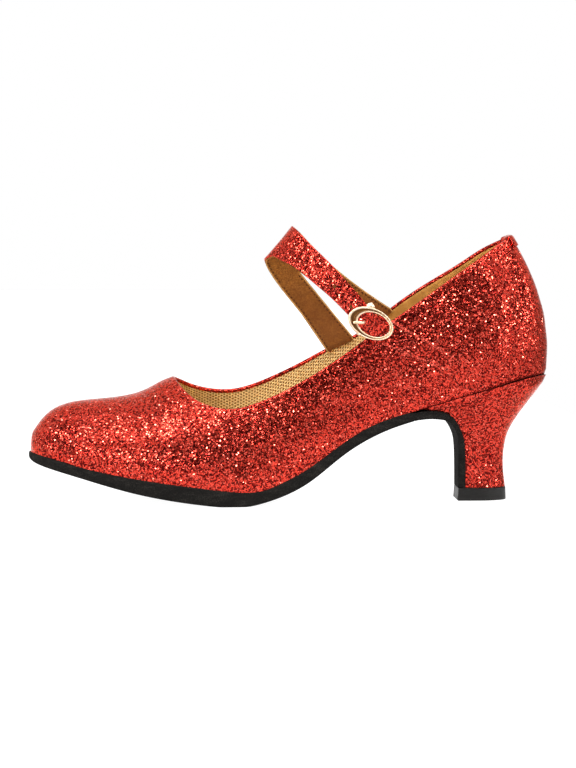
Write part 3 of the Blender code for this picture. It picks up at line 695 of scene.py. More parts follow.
# Outsole. Black suede leather, nap outwards so that it grips the dance floor, cemented under the upper. Its
# edge is cut square and rounded below, and a thin end runs on under the waist and down the heel's breast.
SOLE_GAP = 0.1
SOLE_MARGIN = 0.8
SOLE_ROUND = 1.6
SOLE_TOP_ROUND = 0.9
SOLE_ROUND_MOST = 0.45
SOLE_TOP_MOST = 0.25
SOLE_INSET_MOST = 0.4
SOLE_END = 172.0
SUEDE_BLACK = (0.0065, 0.006, 0.0055)
SUEDE_GREY = (0.033, 0.030, 0.026)
# Sole down the breast of the heel: inner face s, z; outer face s, z; half width.
BREAST = (
    (176.5, 41.5, 176.0, 37.7, 24.6), (182.8, 42.4, 182.2, 38.4, 24.2), (188.75, 41.65, 187.9, 38.0, 22.4),
    (192.75, 39.6, 191.4, 36.9, 20.6), (195.65, 36.2, 193.9, 34.3, 18.4), (197.75, 32.2, 195.6, 30.9, 16.2),
    (199.25, 27.7, 196.5, 26.8, 14.0), (200.05, 20.9, 196.7, 20.6, 11.8), (200.25, 13.5, 196.7, 13.5, 10.5),
    (200.25, 6.1, 196.7, 6.1, 10.1),
)


def black_suede(name):
    """Brushed suede: near black, with paler fibre tips in streaks along the shoe and a coarse nap."""
    material, point, _ = new_finish(name)
    fibre = point.noise(0.45, 3.0, 0.75)
    streak = point.stretched(0.25, 1.0, 1.0).noise(2.2, 3.0)
    tips = (fibre * 0.7 + streak * 0.3).rise(0.45, 0.75)
    return set_finish(material, Base_Color=tips.blend(SUEDE_BLACK, SUEDE_GREY), Roughness=0.9 + fibre * 0.1,
                      Normal=(fibre + streak * 0.4).bump(0.25), Specular_IOR_Level=0.08)


def mix(a, b, t):
    """Point between a and b."""
    return a + (b - a) * t


def sole_path():
    """Upper and lower face in side view, half widths, and the shares of the edge facing toe and side."""
    u = np.linspace(0, float(turn(SOLE_END)), 110)
    s = station(u)
    ahead = np.maximum(np.cos(u), 0)
    place = s - SOLE_MARGIN * ahead
    low = np.maximum(under_z(u), 0)
    widths = [half_width(side, s) + SOLE_MARGIN * np.sin(u) for side in (-1, 1)]
    front = np.stack([place, feather_z(u) - SOLE_GAP, place, low, *widths, ahead, np.sin(u)], -1)
    table = np.array(BREAST)
    steps = np.linspace(0, len(table) - 1, 60)
    down = [natural_spline(np.arange(len(table)), table[:, k])(steps) for k in (0, 1, 2, 3, 4, 4)]
    return np.concatenate([front, np.stack([*down, 0 * steps, 0 * steps + 1], -1)])


def sole_grid():
    """Closed section carried along the path: straight walls, rounded a little above and more below."""
    top_s, top_z, low_s, low_z, outer, inner, ahead, aside = sole_path().T[:, :, None]
    tall = np.hypot(top_s - low_s, top_z - low_z)
    lift = np.minimum(SOLE_ROUND / tall, SOLE_ROUND_MOST)
    drop = np.minimum(SOLE_TOP_ROUND / tall, SOLE_TOP_MOST)
    t = np.linspace(0, math.pi / 2, 7)[None, :]
    flat = np.linspace(0, 1, 14)[None, 1:-1]
    wall = np.concatenate([1 - drop * (1 - np.cos(t)), lift * (1 - np.sin(t))], axis=1)
    rounds = [SOLE_TOP_ROUND * (1 - np.sin(t)), SOLE_ROUND * (1 - np.cos(t))]
    inset = np.concatenate(rounds, axis=1) + 0 * lift
    drawn = np.minimum(inset * aside, SOLE_INSET_MOST * (outer + inner))
    below = mix(drawn[:, -1:] - outer, inner - drawn[:, -1:], flat)
    height = np.concatenate([wall, 0 * lift * flat, wall[:, ::-1]], axis=1)
    y = np.concatenate([drawn - outer, below, (inner - drawn)[:, ::-1]], axis=1)
    back = np.concatenate([inset, SOLE_ROUND + 0 * lift * flat, inset[:, ::-1]], axis=1) * ahead
    s = low_s + (top_s - low_s) * height + back
    z = low_z + (top_z - low_z) * height
    section = np.stack([s, y, z], -1)
    return np.concatenate([section, section[:, :1]], axis=1)


# The section has no width at the toe and closes by itself there, so only the other end keeps its cap.
suede = black_suede("outsole_suede")
piece("outsole_suede", [(capped(sole_grid())[1:], False)], suede, ["outsole"], closed=True)


# Heel. A moulded heel with a flared seat, covered with the same glitter cloth and screwed on under the seat.
# The cover is turned in at the top, so its rim stands a little proud of the upper, with a dark line between:
# the glue, darkened further as painted shade of the notch.
HEEL_ROUND = 0.4
HEEL_GAP = 0.25
RIM_PROUD = 0.4
RIM_FULL = 0.5
RIM_TURNED = 0.35
HEEL_BARE = 0.06
# Heel from the top piece to the seat: breast s, z; back s, z; half width at the breast and at its widest.
HEEL = (
    (200.2, 6.1, 219.5, 6.1, 9.8, 10.2), (200.2, 13.5, 218.6, 14.0, 10.2, 10.0),
    (200.0, 20.9, 218.7, 22.0, 11.4, 10.9), (199.2, 27.8, 220.2, 29.8, 13.4, 12.8),
    (197.7, 32.3, 222.7, 35.2, 15.6, 15.1), (195.6, 36.3, 226.0, 40.2, 17.9, 17.6),
    (192.7, 39.6, 229.3, 44.6, 20.1, 20.3), (188.7, 41.6, 232.7, 49.1, 22.2, 22.9),
    (182.9, 42.4, 235.8, 53.2, 24.0, 24.9), (178.5, 42.4, 238.4, 57.4, 25.2, 26.0),
)


def heel_section(front, back, half_front, half_wide, places):
    """Station and half width round a heel section: straight sides from the breast, then half an oval."""
    s = front + (back - front) * places
    grow = half_front + (half_wide - half_front) * np.clip(places / HEEL_ROUND, 0, 1)
    bend = np.clip((places - HEEL_ROUND) / (1 - HEEL_ROUND), 0, 1)
    return s, grow * np.sqrt(np.maximum(1 - bend ** 2, 0))


def section_places(straight, oval):
    """Places along a section from 0 at the breast to 1 at the back, close together where the oval ends."""
    return np.concatenate([np.linspace(0, HEEL_ROUND, straight)[:-1],
                           HEEL_ROUND + (1 - HEEL_ROUND) * np.sin(np.linspace(0, math.pi / 2, oval))])


def round_section(s, half, z):
    """Closed ring of a section: the outer half from the breast to the back, then the inner half."""
    outer = np.stack([s, -half, z], -1)
    inner = np.stack([s, half, z], -1)
    return np.concatenate([outer, inner[:, -2::-1], outer[:, :1]], axis=1)


def heel_grid():
    """Sections from the top piece to the seat; the last ones tilt to follow the feather line and draw in."""
    table = np.array(HEEL)
    level = np.linspace(0, len(table) - 1, 90)[:, None]
    curves = [natural_spline(np.arange(len(table)), table[:, k])(level) for k in range(table.shape[1])]
    front_s, front_z, back_s, back_z, half_front, half_wide = curves
    back_s = back_s + RIM_FULL * np.sin(math.pi * np.clip(level - len(table) + 2, 0, 1))
    places = section_places(12, 40)[None, :]
    s, half = heel_section(front_s, back_s, half_front, half_wide, places)
    z = front_z + (back_z - front_z) * places
    seat = smooth(level, len(table) - 2, len(table) - 1)
    z = z + seat * (feather_z(turn(np.minimum(s, SHOE_LENGTH))) - HEEL_GAP - z)
    half = half + RIM_PROUD * smooth(level, len(table) - 2.4, len(table) - 1.2)
    body = round_section(s, half, z)
    middle = body[-1:].mean(1, keepdims=True)
    turned = body[-1:] + unit(middle - body[-1:]) * RIM_TURNED
    return np.concatenate([body, turned])


glitter_heel = glitter_cloth("heel_glitter", bare=HEEL_BARE)
heel_rings = capped(heel_grid())
# The cover's top rows share the dark seam line: glue and painted shade of the notch.
rim_seam_glue_and_shade = np.zeros(heel_rings.shape[:2])
rim_seam_glue_and_shade[-2:] = seam_share(heel_rings[-2:, :, 0])
piece("heel_cover", [(heel_rings, False)], glitter_heel, ["heel"], closed=True, sharp=60.0,
      seam=rim_seam_glue_and_shade)


# Heel tip. A hard black rubber top piece, D-shaped, pinned under the heel and the end of the sole. Its sides
# flare a little to the floor and its edges are moulded round.
TIP_HEIGHT = 5.8
TIP_FRONT = 196.9
TIP_BACK = 219.7
TIP_HALF = 10.3
TIP_FLARE = 0.4
TIP_ROUND = 0.5
TIP_TOP_SHARE = 0.6
TIP_RUB = (0.0, 0.0025)
TIP_BLACK = (0.006, 0.0055, 0.005)
TIP_WORN = (0.014, 0.013, 0.012)


def tip_rubber(name):
    """Moulded rubber: black with a dull bloom, fine pores, and rub marks towards the floor."""
    material, point, _ = new_finish(name)
    pores = point.noise(0.5, 3.0, 0.6)
    bloom = point.noise(4.0, 3.0)
    worn = (1 - point.part("Z").rise(*TIP_RUB)) * bloom.rise(0.35, 0.7)
    tone = (bloom * 0.25 + worn * 0.6).blend(TIP_BLACK, TIP_WORN)
    rough = 0.32 + bloom * 0.2 + worn * 0.2
    return set_finish(material, Base_Color=tone, Roughness=rough, Normal=pores.bump(0.03),
                      Specular_IOR_Level=0.2)


def tip_grid():
    """D-shaped sections from the floor up: drawn in at both rounded edges, flared in between."""
    t = np.linspace(0, math.pi / 2, 5)
    low = TIP_ROUND * (1 - np.sin(t))
    rise = TIP_ROUND * (1 - np.cos(t))
    z = np.concatenate([rise, TIP_HEIGHT - rise[::-1] * TIP_TOP_SHARE])[:, None]
    drawn = np.concatenate([low, low[::-1] * TIP_TOP_SHARE])[:, None]
    flare = TIP_FLARE * (1 - z / TIP_HEIGHT) - drawn
    places = section_places(10, 36)[None, :]
    s, half = heel_section(TIP_FRONT - flare, TIP_BACK + flare / 2, TIP_HALF + flare / 2, TIP_HALF + flare,
                           places)
    return round_section(s, half, z + 0 * s)


rubber = tip_rubber("tip_rubber")
piece("heel_tip_block", [(capped(tip_grid()), False)], rubber, ["heel_tip"], closed=True, sharp=35.0)


# Strap. Glitter cloth outside and brown microsuede inside, stitched together near the edges. One band comes
# from the buckle over the instep and splits into two arms, sewn inside the topline of the inner side.
STRAP_LAYER = 0.72
STRAP_ARCH = 2.2
STRAP_NEAR_Y = -28.8
STRAP_SPLIT = 0.30
STRAP_SAG = 2.0
STRAP_LEAN = 4.5
LEAN_POWER = 8
STRAP_SWELL = 1.3
SWELL_END = 0.6
SWELL_POWER = 0.63
STRAP_CROTCH = (125.0, 0.0, 104.8)
STRAP_ARM_FRONT = (137.2, 149.9)
STRAP_ARM_BACK = (158.6, 168.0)
ARM_INSIDE = 1.75
ARM_LAP = 0.7
ARM_RISE = 0.3
ARM_SWING = 0.72
STRAP_HALF = 10
STRAP_EASE = 16
STRAP_EASE_REACH = 7.0
HOLE_PLACES = ((146.2, 89.7), (138.8, 98.7))
HOLE_RADIUS = 0.75
HOLE_RIM = (0.7, 1.2)
HOLE_Y = (-0.004, 0.0)
THREAD_DARK = (0.020, 0.007, 0.003)
THREAD_LIGHT = (0.06, 0.022, 0.008)
STITCH_INSET = 1.4
STITCH_PITCH = 1.9
STITCH_LONG = 1.05
STITCH_RADIUS = 0.24
STITCH_LIFT = 0.02
STITCH_END = 1.0
STITCH_AHEAD = 0.5
STRAP_LIGHT = (0.245, 0.083, 0.0145)
# Pale tone near the crown of the strap: painted light, lighter where the light falls from above.
STRAP_PAINTED_TOP_LIGHT = (0.46, 0.175, 0.028)
STRAP_DARK = (0.12, 0.037, 0.006)
PAINTED_LIGHT_FROM = (0.084, 0.113)
CUT_EDGE_TAN = (0.62, 0.36, 0.12)
CUT_EDGE_DEEP = (0.40, 0.20, 0.055)
CUT_EDGE_RADIUS = 0.36
CUT_EDGE_SUNK = 0.6
# Near run of the strap: share of the way down, front edge s, z, back edge s, z.
STRAP_NEAR = (
    (0.0, 108.2, 110.6, 121.0, 126.1), (0.02, 111.0, 112.2, 121.9, 125.1),
    (0.05, 114.0, 111.3, 123.1, 123.8), (0.12, 118.4, 108.9, 126.0, 120.5),
    (0.21, 122.3, 106.5, 129.3, 116.9), (0.45, 130.0, 99.9, 137.5, 108.7),
    (0.60, 136.9, 94.0, 143.7, 101.8), (0.76, 143.7, 87.2, 150.4, 94.1),
    (0.86, 148.4, 82.4, 154.3, 89.4), (0.93, 152.4, 78.4, 158.0, 85.3),
    (1.0, 156.6, 74.7, 162.2, 80.9),
)
strap_split = math.acos((1 - STRAP_SPLIT) ** (STRAP_ARCH / 2))


def rim_point(side, s, above):
    """Middle of the folded topline at a station, raised above its top; with the normal and the way over."""
    points, normal, over = topline_frame()
    count = len(points) // 2 + 1
    half = slice(0, count) if side < 0 else slice(count - 1, None)
    line = [np.stack([np.interp(s, points[half, 0][::-side], x[half, k][::-side]) for k in range(3)], -1)
            for x in (points, normal, over)]
    return line[0] - line[1] * WALL / 2 + line[2] * (WALL / 2 + above), line[1], line[2]


def arch(phi):
    """Fall and sideways share on the strap's superellipse; phi is 0 at the crown, pi / 2 at the end."""
    power = 2 / STRAP_ARCH
    return 1 - np.maximum(np.cos(phi), 0) ** power, np.sin(phi) ** power


def sag(fall):
    """Drop of the back edge below the straight line to the end of its arm, greatest half way down."""
    return STRAP_SAG * 4 * fall * (1 - fall) * np.array((-0.62, 0.0, -0.78))


def swell(fall):
    """Bow of the front edge forwards and down near the crown, which dies away part of the way down."""
    bow = np.sin(math.pi * np.minimum(fall / SWELL_END, 1) ** SWELL_POWER)
    return STRAP_SWELL * bow * np.array((-0.83, 0.0, -0.55))


def lean(fall, q):
    """Shift of the band's front edge to the inner side, greatest at the crown; the back edge stays."""
    return STRAP_LEAN * (1 - q) * (1 - fall) ** LEAN_POWER


def strap_near():
    """Band from the buckle up to the crown: straight across between its two edges, on the arch sideways."""
    fall, aside = arch(np.linspace(math.pi / 2, 0, 70)[:, None])
    table = np.array(STRAP_NEAR)
    front_s, front_z, back_s, back_z = (natural_spline(table[:, 0], table[:, k])(fall) for k in range(1, 5))
    q = np.linspace(0, 1, 2 * STRAP_HALF + 1)[None, :]
    y = STRAP_NEAR_Y * aside + lean(fall, q)
    return np.stack([mix(front_s, back_s, q), y, mix(front_z, back_z, q)], -1)


def strap_crown(crown, front, back):
    """Band from the crown to the crotch: its edges head for the two arms, its middle line for the crotch."""
    phi = np.linspace(0, strap_split, 24)[:, None]
    fall, aside = arch(phi)
    first = mix(crown[0], front[0], fall) + swell(fall)
    last = mix(crown[-1], back[-1], fall) + sag(fall)
    middle = mix(crown[STRAP_HALF], np.array(STRAP_CROTCH), phi / strap_split)
    first[:, 1:2] = front[0][1] * aside + lean(fall, 0)
    last[:, 1:2] = back[-1][1] * aside
    middle[:, 1] = (first[:, 1] + last[:, 1]) / 2
    q = np.linspace(0, 1, STRAP_HALF + 1)[None, :, None]
    front_half = mix(first[:, None], middle[:, None], q)
    back_half = mix(middle[:, None], last[:, None], q)
    return np.concatenate([front_half, back_half[:, 1:]], axis=1)


def strap_arm(begin, base, normal, over, bend, share_across):
    """Arm from the crotch to the topline: along the arch, then inside the rim, where it laps down."""
    fall, aside = arch(np.linspace(strap_split, math.pi / 2, 46)[:, None, None])
    share = (fall - STRAP_SPLIT) / (1 - STRAP_SPLIT)
    rows = mix(begin[None], base[None], share)
    chord = bend(STRAP_SPLIT) * (1 - fall) / (1 - STRAP_SPLIT)
    rows = rows + np.linspace(*share_across, STRAP_HALF + 1)[None, :, None] * (bend(fall) - chord)
    aside_split = arch(strap_split)[1]
    way = ((aside - aside_split) / (1 - aside_split))[..., 0]
    rows[..., 1] = mix(begin[None, :, 1], base[None, :, 1], way)
    rows = rows - normal[None] * ARM_INSIDE * smooth(fall, ARM_SWING, 1.0)
    down = np.linspace(0, 1, 8)[1:, None, None]
    lap = rows[-1:] - over[None] * (ARM_LAP + WALL / 2) * down
    return np.concatenate([rows, lap])


def eased(rows):
    """Rows of the band with the fold over the crown rounded off, each drawn towards its neighbours."""
    fold = lean(0, np.linspace(0, 1, 2 * STRAP_HALF + 1))[None, :, None]
    for _ in range(STRAP_EASE):
        share = np.exp(-((rows[1:-1, :, 1:2] - fold) / STRAP_EASE_REACH) ** 2) / 2
        between = (rows[:-2] + rows[2:]) / 2
        rows = np.concatenate([rows[:1], mix(rows[1:-1], between, share), rows[-1:]])
    return rows


def strap_sheets():
    """The band and its two arms, which share the rows where they meet."""
    near = strap_near()
    front, front_out, front_over = rim_point(1, np.linspace(*STRAP_ARM_FRONT, STRAP_HALF + 1), ARM_RISE)
    back, back_out, back_over = rim_point(1, np.linspace(*STRAP_ARM_BACK, STRAP_HALF + 1), ARM_RISE)
    crown = strap_crown(near[-1], front, back)
    body = eased(np.concatenate([near, crown[1:]]))
    arm_front = strap_arm(crown[-1, :STRAP_HALF + 1], front, front_out, front_over, swell, (1, 0))
    arm_back = strap_arm(crown[-1, STRAP_HALF:], back, back_out, back_over, sag, (0, 1))
    return body, arm_front, arm_back


def grid_normal(grid):
    """Normal of a grid from its two directions."""
    return unit(np.cross(np.gradient(grid, axis=0), np.gradient(grid, axis=1)))


def at_lengths(places, length, values):
    """Values in between at some places along a path, from those at the lengths of its points."""
    return np.stack([np.interp(places, length, values[:, k]) for k in range(3)], -1)


def stitch_row(grid, column, inwards):
    """Stitches along one edge of a strap grid: small spindles set in from the edge, on the lining's face."""
    face = grid_normal(grid)[:, column]
    edge = grid[:, column]
    across = unit(grid[:, column + inwards] - edge)
    path = edge + across * STITCH_INSET + face * (STRAP_LAYER + STITCH_LIFT)
    length = np.concatenate([[0], np.cumsum(np.linalg.norm(np.diff(path, axis=0), axis=1))])
    starts = np.arange(STITCH_END, length[-1] - STITCH_END, STITCH_PITCH)
    centre = at_lengths(starts, length, path)
    along = unit(at_lengths(starts + STITCH_AHEAD, length, path) - centre)
    out = unit(at_lengths(starts, length, face))
    third = np.cross(along, out)
    t = np.linspace(0, math.pi, 6)[None, :, None, None]
    a = np.linspace(0, 2 * math.pi, 8)[None, None, :, None]
    spindle = centre[:, None, None] - along[:, None, None] * (STITCH_LONG / 2) * np.cos(t)
    girth = STITCH_RADIUS * np.sqrt(np.sin(t).clip(0))
    spindle = spindle + girth * (out[:, None, None] * np.cos(a) + third[:, None, None] * np.sin(a))
    return [(one, False) for one in spindle]


def cut_edge(grid, column, inwards):
    """Cut edge of the lining along one side of a strap grid: a thin round bead on the lining's face."""
    face = grid_normal(grid)[:, column, None]
    edge = grid[:, column, None]
    across = unit(grid[:, column + inwards, None] - edge)
    a = np.linspace(0, 2 * math.pi, 11)[None, :, None]
    bead = edge + across * CUT_EDGE_RADIUS + face * (STRAP_LAYER - CUT_EDGE_SUNK * CUT_EDGE_RADIUS)
    return capped(bead + CUT_EDGE_RADIUS * (face * np.cos(a) + across * np.sin(a)))


def cut_edge_finish(name):
    """Core of the microsuede where it is cut: tan, with short fibres sticking out."""
    material, point, _ = new_finish(name)
    fibre = point.noise(0.35, 3.0, 0.7)
    return set_finish(material, Base_Color=fibre.rise(0.3, 0.7).blend(CUT_EDGE_DEEP, CUT_EDGE_TAN),
                      Roughness=0.8 + fibre * 0.2, Normal=fibre.bump(0.1), Specular_IOR_Level=0.2)


def strap_lining_finish(name):
    """Microsuede of a deeper brown than the counter's, with the same brushed nap."""
    material, point, _ = new_finish(name)
    stroke = point.noise(4.0, 3.0)
    fibre = point.noise(0.7, 3.0, 0.8)
    tone = (stroke * 0.25 + fibre * 0.85).rise(0.3, 0.85)
    # Painted light: the pale tone turns lighter and warmer towards the crown, where light falls from above.
    light = point.part("Z").rise(*PAINTED_LIGHT_FROM).blend(STRAP_LIGHT, STRAP_PAINTED_TOP_LIGHT)
    return set_finish(material, Base_Color=tone.blend(STRAP_DARK, light), Roughness=0.8 + fibre * 0.2,
                      Normal=fibre.bump(0.12), Specular_IOR_Level=0.2)


def thread_finish(name):
    """Spun sewing thread, nearly black brown, with a fine twist."""
    material, point, _ = new_finish(name)
    twist = point.noise(0.25, 1.0)
    return set_finish(material, Base_Color=twist.blend(THREAD_DARK, THREAD_LIGHT),
                      Roughness=0.75 + twist * 0.2, Normal=twist.bump(0.05), Specular_IOR_Level=0.1)


def strap_holes(point):
    """1 inside the two punched holes of the near run, fading out over their rims; they are painted shade,
    not cut.
    """
    rim = [(share * HOLE_RADIUS * MM) ** 2 for share in HOLE_RIM]
    hole = 0.0
    for s, z in HOLE_PLACES:
        x = point.part("X") - (s + SHOE_ORIGIN[0]) * MM
        z = point.part("Z") - z * MM
        hole = hole + (1 - (x * x + z * z).rise(*rim))
    return hole * (1 - point.part("Y").rise(*HOLE_Y))


strap_grids = strap_sheets()
glitter_strap = glitter_cloth("strap_glitter", pierced=strap_holes)
strap_nap = strap_lining_finish("strap_microsuede")
strap_faces = [(grid, False) for grid in strap_grids]
piece("strap_cloth", strap_faces, glitter_strap, ["strap"], wall=STRAP_LAYER, side=1.0, edge=0.25)
piece("strap_lining", strap_faces, strap_nap, wall=STRAP_LAYER, side=-1.0, edge=0.12)
strap_edges = [(grid, *edge) for grid in strap_grids for edge in ((0, 1), (-1, -1))]
stitches = [stitch for edge in strap_edges for stitch in stitch_row(*edge)]
piece("strap_stitches", stitches, thread_finish("strap_thread"), closed=True)
cut_edges = [(cut_edge(*edge), False) for edge in strap_edges]
piece("strap_cut_edges", cut_edges, cut_edge_finish("strap_edge_core"), closed=True)


# Buckle. A cast oval ring, rose gold plated and polished; its opening is off centre, so it is wider on the
# left. A bar across its back carries the pin, and a small lug stands at its top end.
BUCKLE_CENTRE = (155.0, -30.8, 82.2)
BUCKLE_TILT = math.radians(23.0)
RING_OUTER = (10.7, 6.9)
RING_INNER = (7.4, 5.1)
RING_SHIFT = 1.4
RING_THICK = 1.7
RING_SQUARE = (0.7, 0.75)
HOLLOW_OUTER = (0.76, 0.86)
HOLLOW_INNER = (1.15, 1.35)
BAR_RADIUS = 0.7
BAR_DEPTH = 5.1
BAR_ALONG = -3.0
POST_RADIUS = 0.9
POST_ACROSS = (-6.3, 7.9)
POST_OUT = 0.6
LUG_ACROSS = 6.9
LUG_OUT = -0.4
LUG_RADII = (2.1, 1.4, 1.2)
PRONG_RADIUS = 0.6
EYE_RADIUS = 0.5
PLAY = 0.3
# Pin from its eye on the bar to its tip over the left end of the ring: along, across, out.
PRONG_PATH = (
    (-4.5, 0.0, -4.9), (-3.9, -0.1, -2.9), (-3.0, -0.4, -0.9), (-3.2, -0.9, 1.45), (-4.8, -1.6, 1.85),
    (-7.6, -2.75, 1.85),
)
GOLD_PALE = (0.90, 0.71, 0.52)
GOLD_DEEP = (0.70, 0.48, 0.28)
# Brown of the ring's groove: tarnish, darkened further as painted shade and dark reflection between the
# rims.
GOLD_TARNISH_AND_SHADE = (0.11, 0.045, 0.014)
GROOVE_DEPTH = 0.6
GROOVE_SPREAD = 0.22


def rose_gold(name, hollow=None):
    """Polished plating: faint clouds of tarnish and hairline rub marks; hollow is 1 where it is brown."""
    material, point, _ = new_finish(name)
    tarnish = point.noise(3.0, 3.0)
    rub = point.stretched(1.0, 6.0, 6.0).noise(1.5, 2.0)
    colour = tarnish.rise(0.35, 0.75).blend(GOLD_PALE, GOLD_DEEP)
    if hollow:
        # Painted shade: the groove between the rims is coloured brown over its tarnish.
        colour = hollow(point).blend(colour, GOLD_TARNISH_AND_SHADE)
    rough = 0.26 + tarnish * 0.10 + rub * 0.05
    return set_finish(material, Base_Color=colour, Metallic=1.0, Roughness=rough, Normal=rub.bump(0.002))


def ring_hollow(point):
    """1 in the groove between the ring's rims, from the squared distance out on each of its two ovals."""
    x = point.part("X") * (1 / MM) - (BUCKLE_CENTRE[0] + SHOE_ORIGIN[0])
    z = point.part("Z") * (1 / MM) - BUCKLE_CENTRE[2]
    along = x * math.cos(BUCKLE_TILT) - z * math.sin(BUCKLE_TILT)
    across = x * math.sin(BUCKLE_TILT) + z * math.cos(BUCKLE_TILT)
    shifted = along - RING_SHIFT
    outer = along * along * RING_OUTER[0] ** -2 + across * across * RING_OUTER[1] ** -2
    inner = shifted * shifted * RING_INNER[0] ** -2 + across * across * RING_INNER[1] ** -2
    return (1 - outer.rise(*HOLLOW_OUTER)) * inner.rise(*HOLLOW_INNER)


def buckle_place(along, across, out):
    """Point of the buckle from its long axis, its short axis and the outward direction."""
    along, across, out = np.broadcast_arrays(along, across, out)
    s, y, z = BUCKLE_CENTRE
    c = math.cos(BUCKLE_TILT)
    d = math.sin(BUCKLE_TILT)
    return np.stack([s + along * c + across * d, y - out, z - along * d + across * c], -1)


def ring_grid():
    """Rounded section between an outer oval and an inner one shifted to the right, grooved in front."""
    t = np.linspace(0, 2 * math.pi, 161)[:, None]
    a = np.linspace(0, 2 * math.pi, 57)[None, :]
    share = 0.5 - 0.5 * signed_power(np.cos(a), RING_SQUARE[0])
    along = mix(RING_OUTER[0] * np.cos(t), RING_SHIFT + RING_INNER[0] * np.cos(t), share)
    across = mix(RING_OUTER[1] * np.sin(t), RING_INNER[1] * np.sin(t), share)
    groove = GROOVE_DEPTH * np.exp(-((share - 0.5) / GROOVE_SPREAD) ** 2) * (np.sin(a) > 0)
    out = RING_THICK / 2 * signed_power(np.sin(a), RING_SQUARE[1]) - groove
    return buckle_place(along, across, out + 0 * t)


def ball_grid(centre, radii):
    """Egg round a place on the buckle, from two angles."""
    t = np.linspace(0, math.pi, 25)[:, None]
    a = np.linspace(0, 2 * math.pi, 41)[None, :]
    along = centre[0] + radii[0] * np.sin(t) * np.cos(a)
    across = centre[1] + radii[1] * np.sin(t) * np.sin(a)
    return buckle_place(along, across, centre[2] + radii[2] * np.cos(t))


def rod(path, radius):
    """Rod along a path of points: circles square to the path, smaller towards both ends, which are round."""
    path = np.asarray(path, float)
    length = np.concatenate([[0], np.cumsum(np.linalg.norm(np.diff(path, axis=0), axis=1))])
    heading = unit(np.gradient(path, axis=0))
    guide = np.where(np.abs(heading @ (0, 0, 1.0))[:, None] < 0.9, (0, 0, 1.0), (1.0, 0, 0))
    side = unit(np.cross(heading, guide[len(guide) // 2]))
    third = np.cross(heading, side)
    ends = np.minimum(length, length[-1] - length) / radius
    girth = radius * np.sqrt(np.clip(1 - (1 - np.clip(ends, 0, 1)) ** 2, 0.0, 1))[:, None, None]
    a = np.linspace(0, 2 * math.pi, 25)[None, :, None]
    return path[:, None] + girth * (np.cos(a) * side[:, None] + np.sin(a) * third[:, None])


def straight(start, end, count=60):
    """Points between two, closer together near both ends."""
    t = (1 - np.cos(np.linspace(0, math.pi, count)))[:, None] / 2
    return mix(start[None], end[None], t)


def prong_grids():
    """Pin from its eye on the bar, out through the strap and over the left end of the ring; and the eye."""
    eye = BAR_RADIUS + PLAY + EYE_RADIUS
    path = np.array(PRONG_PATH)
    fine = (1 - np.cos(np.linspace(0, math.pi, 80))) / 2 * (len(path) - 1)
    place = [natural_spline(np.arange(len(path)), path[:, k])(fine) for k in range(3)]
    t = np.linspace(0, 2 * math.pi, 49)[:, None]
    a = np.linspace(0, 2 * math.pi, 17)[None, :]
    wide = eye + EYE_RADIUS * np.cos(a)
    loop = buckle_place(BAR_ALONG + wide * np.cos(t), EYE_RADIUS * np.sin(a), -BAR_DEPTH + wide * np.sin(t))
    return [(rod(buckle_place(*place), PRONG_RADIUS), False), (loop, False)]


gold = rose_gold("buckle_rose_gold", hollow=ring_hollow)
bar_ends = [buckle_place(BAR_ALONG, post, -BAR_DEPTH) for post in POST_ACROSS]
ring = [ring_grid(), rod(straight(*bar_ends), BAR_RADIUS)]
for post in POST_ACROSS:
    post_ends = [buckle_place(BAR_ALONG, post, out) for out in (-BAR_DEPTH - POST_RADIUS, POST_OUT)]
    ring.append(rod(straight(*post_ends), POST_RADIUS))
ring.append(ball_grid((BAR_ALONG, LUG_ACROSS, LUG_OUT), LUG_RADII))
ring_sheets = [(grid, False) for grid in ring]
piece("buckle_ring", ring_sheets, gold, ["buckle_frame"], closed=True)
piece("buckle_pin", prong_grids(), rose_gold("pin_rose_gold"), ["buckle_prong"], closed=True)


# Buckle loop. A short strip of glitter cloth, sewn inside the outer topline, up round the bar and back on
# itself, with a slot in its middle for the eye of the pin.
LOOP_THICK = 0.9
LOOP_HALF = 4.4
LOOP_FOOT = (158.4, 165.6)
LOOP_RISE = 0.1
LOOP_RETURN = (0.3, 2.4)
LOOP_SLANT = 0.3
LOOP_STRANDS = 32
SLOT_HALF = 1.1
SLOT_ROW = 7


def loop_grid(low, high, count):
    """Strip between two levels across the bar: a straight leg, half a turn round it and a short return."""
    bend = BAR_RADIUS + PLAY + LOOP_THICK / 2
    level = np.linspace(low, high, count)[None, :]
    places = mix(LOOP_FOOT[0], LOOP_FOOT[1], (level[0] + LOOP_HALF) / (2 * LOOP_HALF))
    foot = rim_point(-1, places, LOOP_RISE)[0]
    leg_top = buckle_place(BAR_ALONG, level, -BAR_DEPTH - bend)[0]
    leg = mix(foot[None], leg_top[None], np.linspace(0, 1, 10)[:-1, None, None])
    t = np.linspace(0, math.pi, 25)[:, None]
    turned = buckle_place(BAR_ALONG - bend * np.sin(t), level, -BAR_DEPTH - bend * np.cos(t))
    reach = np.linspace(*LOOP_RETURN, 6)[:, None]
    back = buckle_place(BAR_ALONG + reach, level, -BAR_DEPTH + bend - LOOP_SLANT * reach)
    return np.concatenate([leg, turned, back])


loop = loop_grid(-LOOP_HALF, LOOP_HALF, LOOP_STRANDS + 1)
slot_from = int(round((LOOP_HALF - SLOT_HALF) / (2 * LOOP_HALF) * LOOP_STRANDS))
slot_to = LOOP_STRANDS - slot_from
loop_parts = (loop[:SLOT_ROW + 1], loop[SLOT_ROW:, :slot_from + 1], loop[SLOT_ROW:, slot_to:])
loop_sheets = [(grid, False) for grid in loop_parts]
piece("buckle_loop", loop_sheets, glitter_cloth("loop_glitter"), ["buckle_tab"], wall=LOOP_THICK,
      side=0.0, edge=0.2)


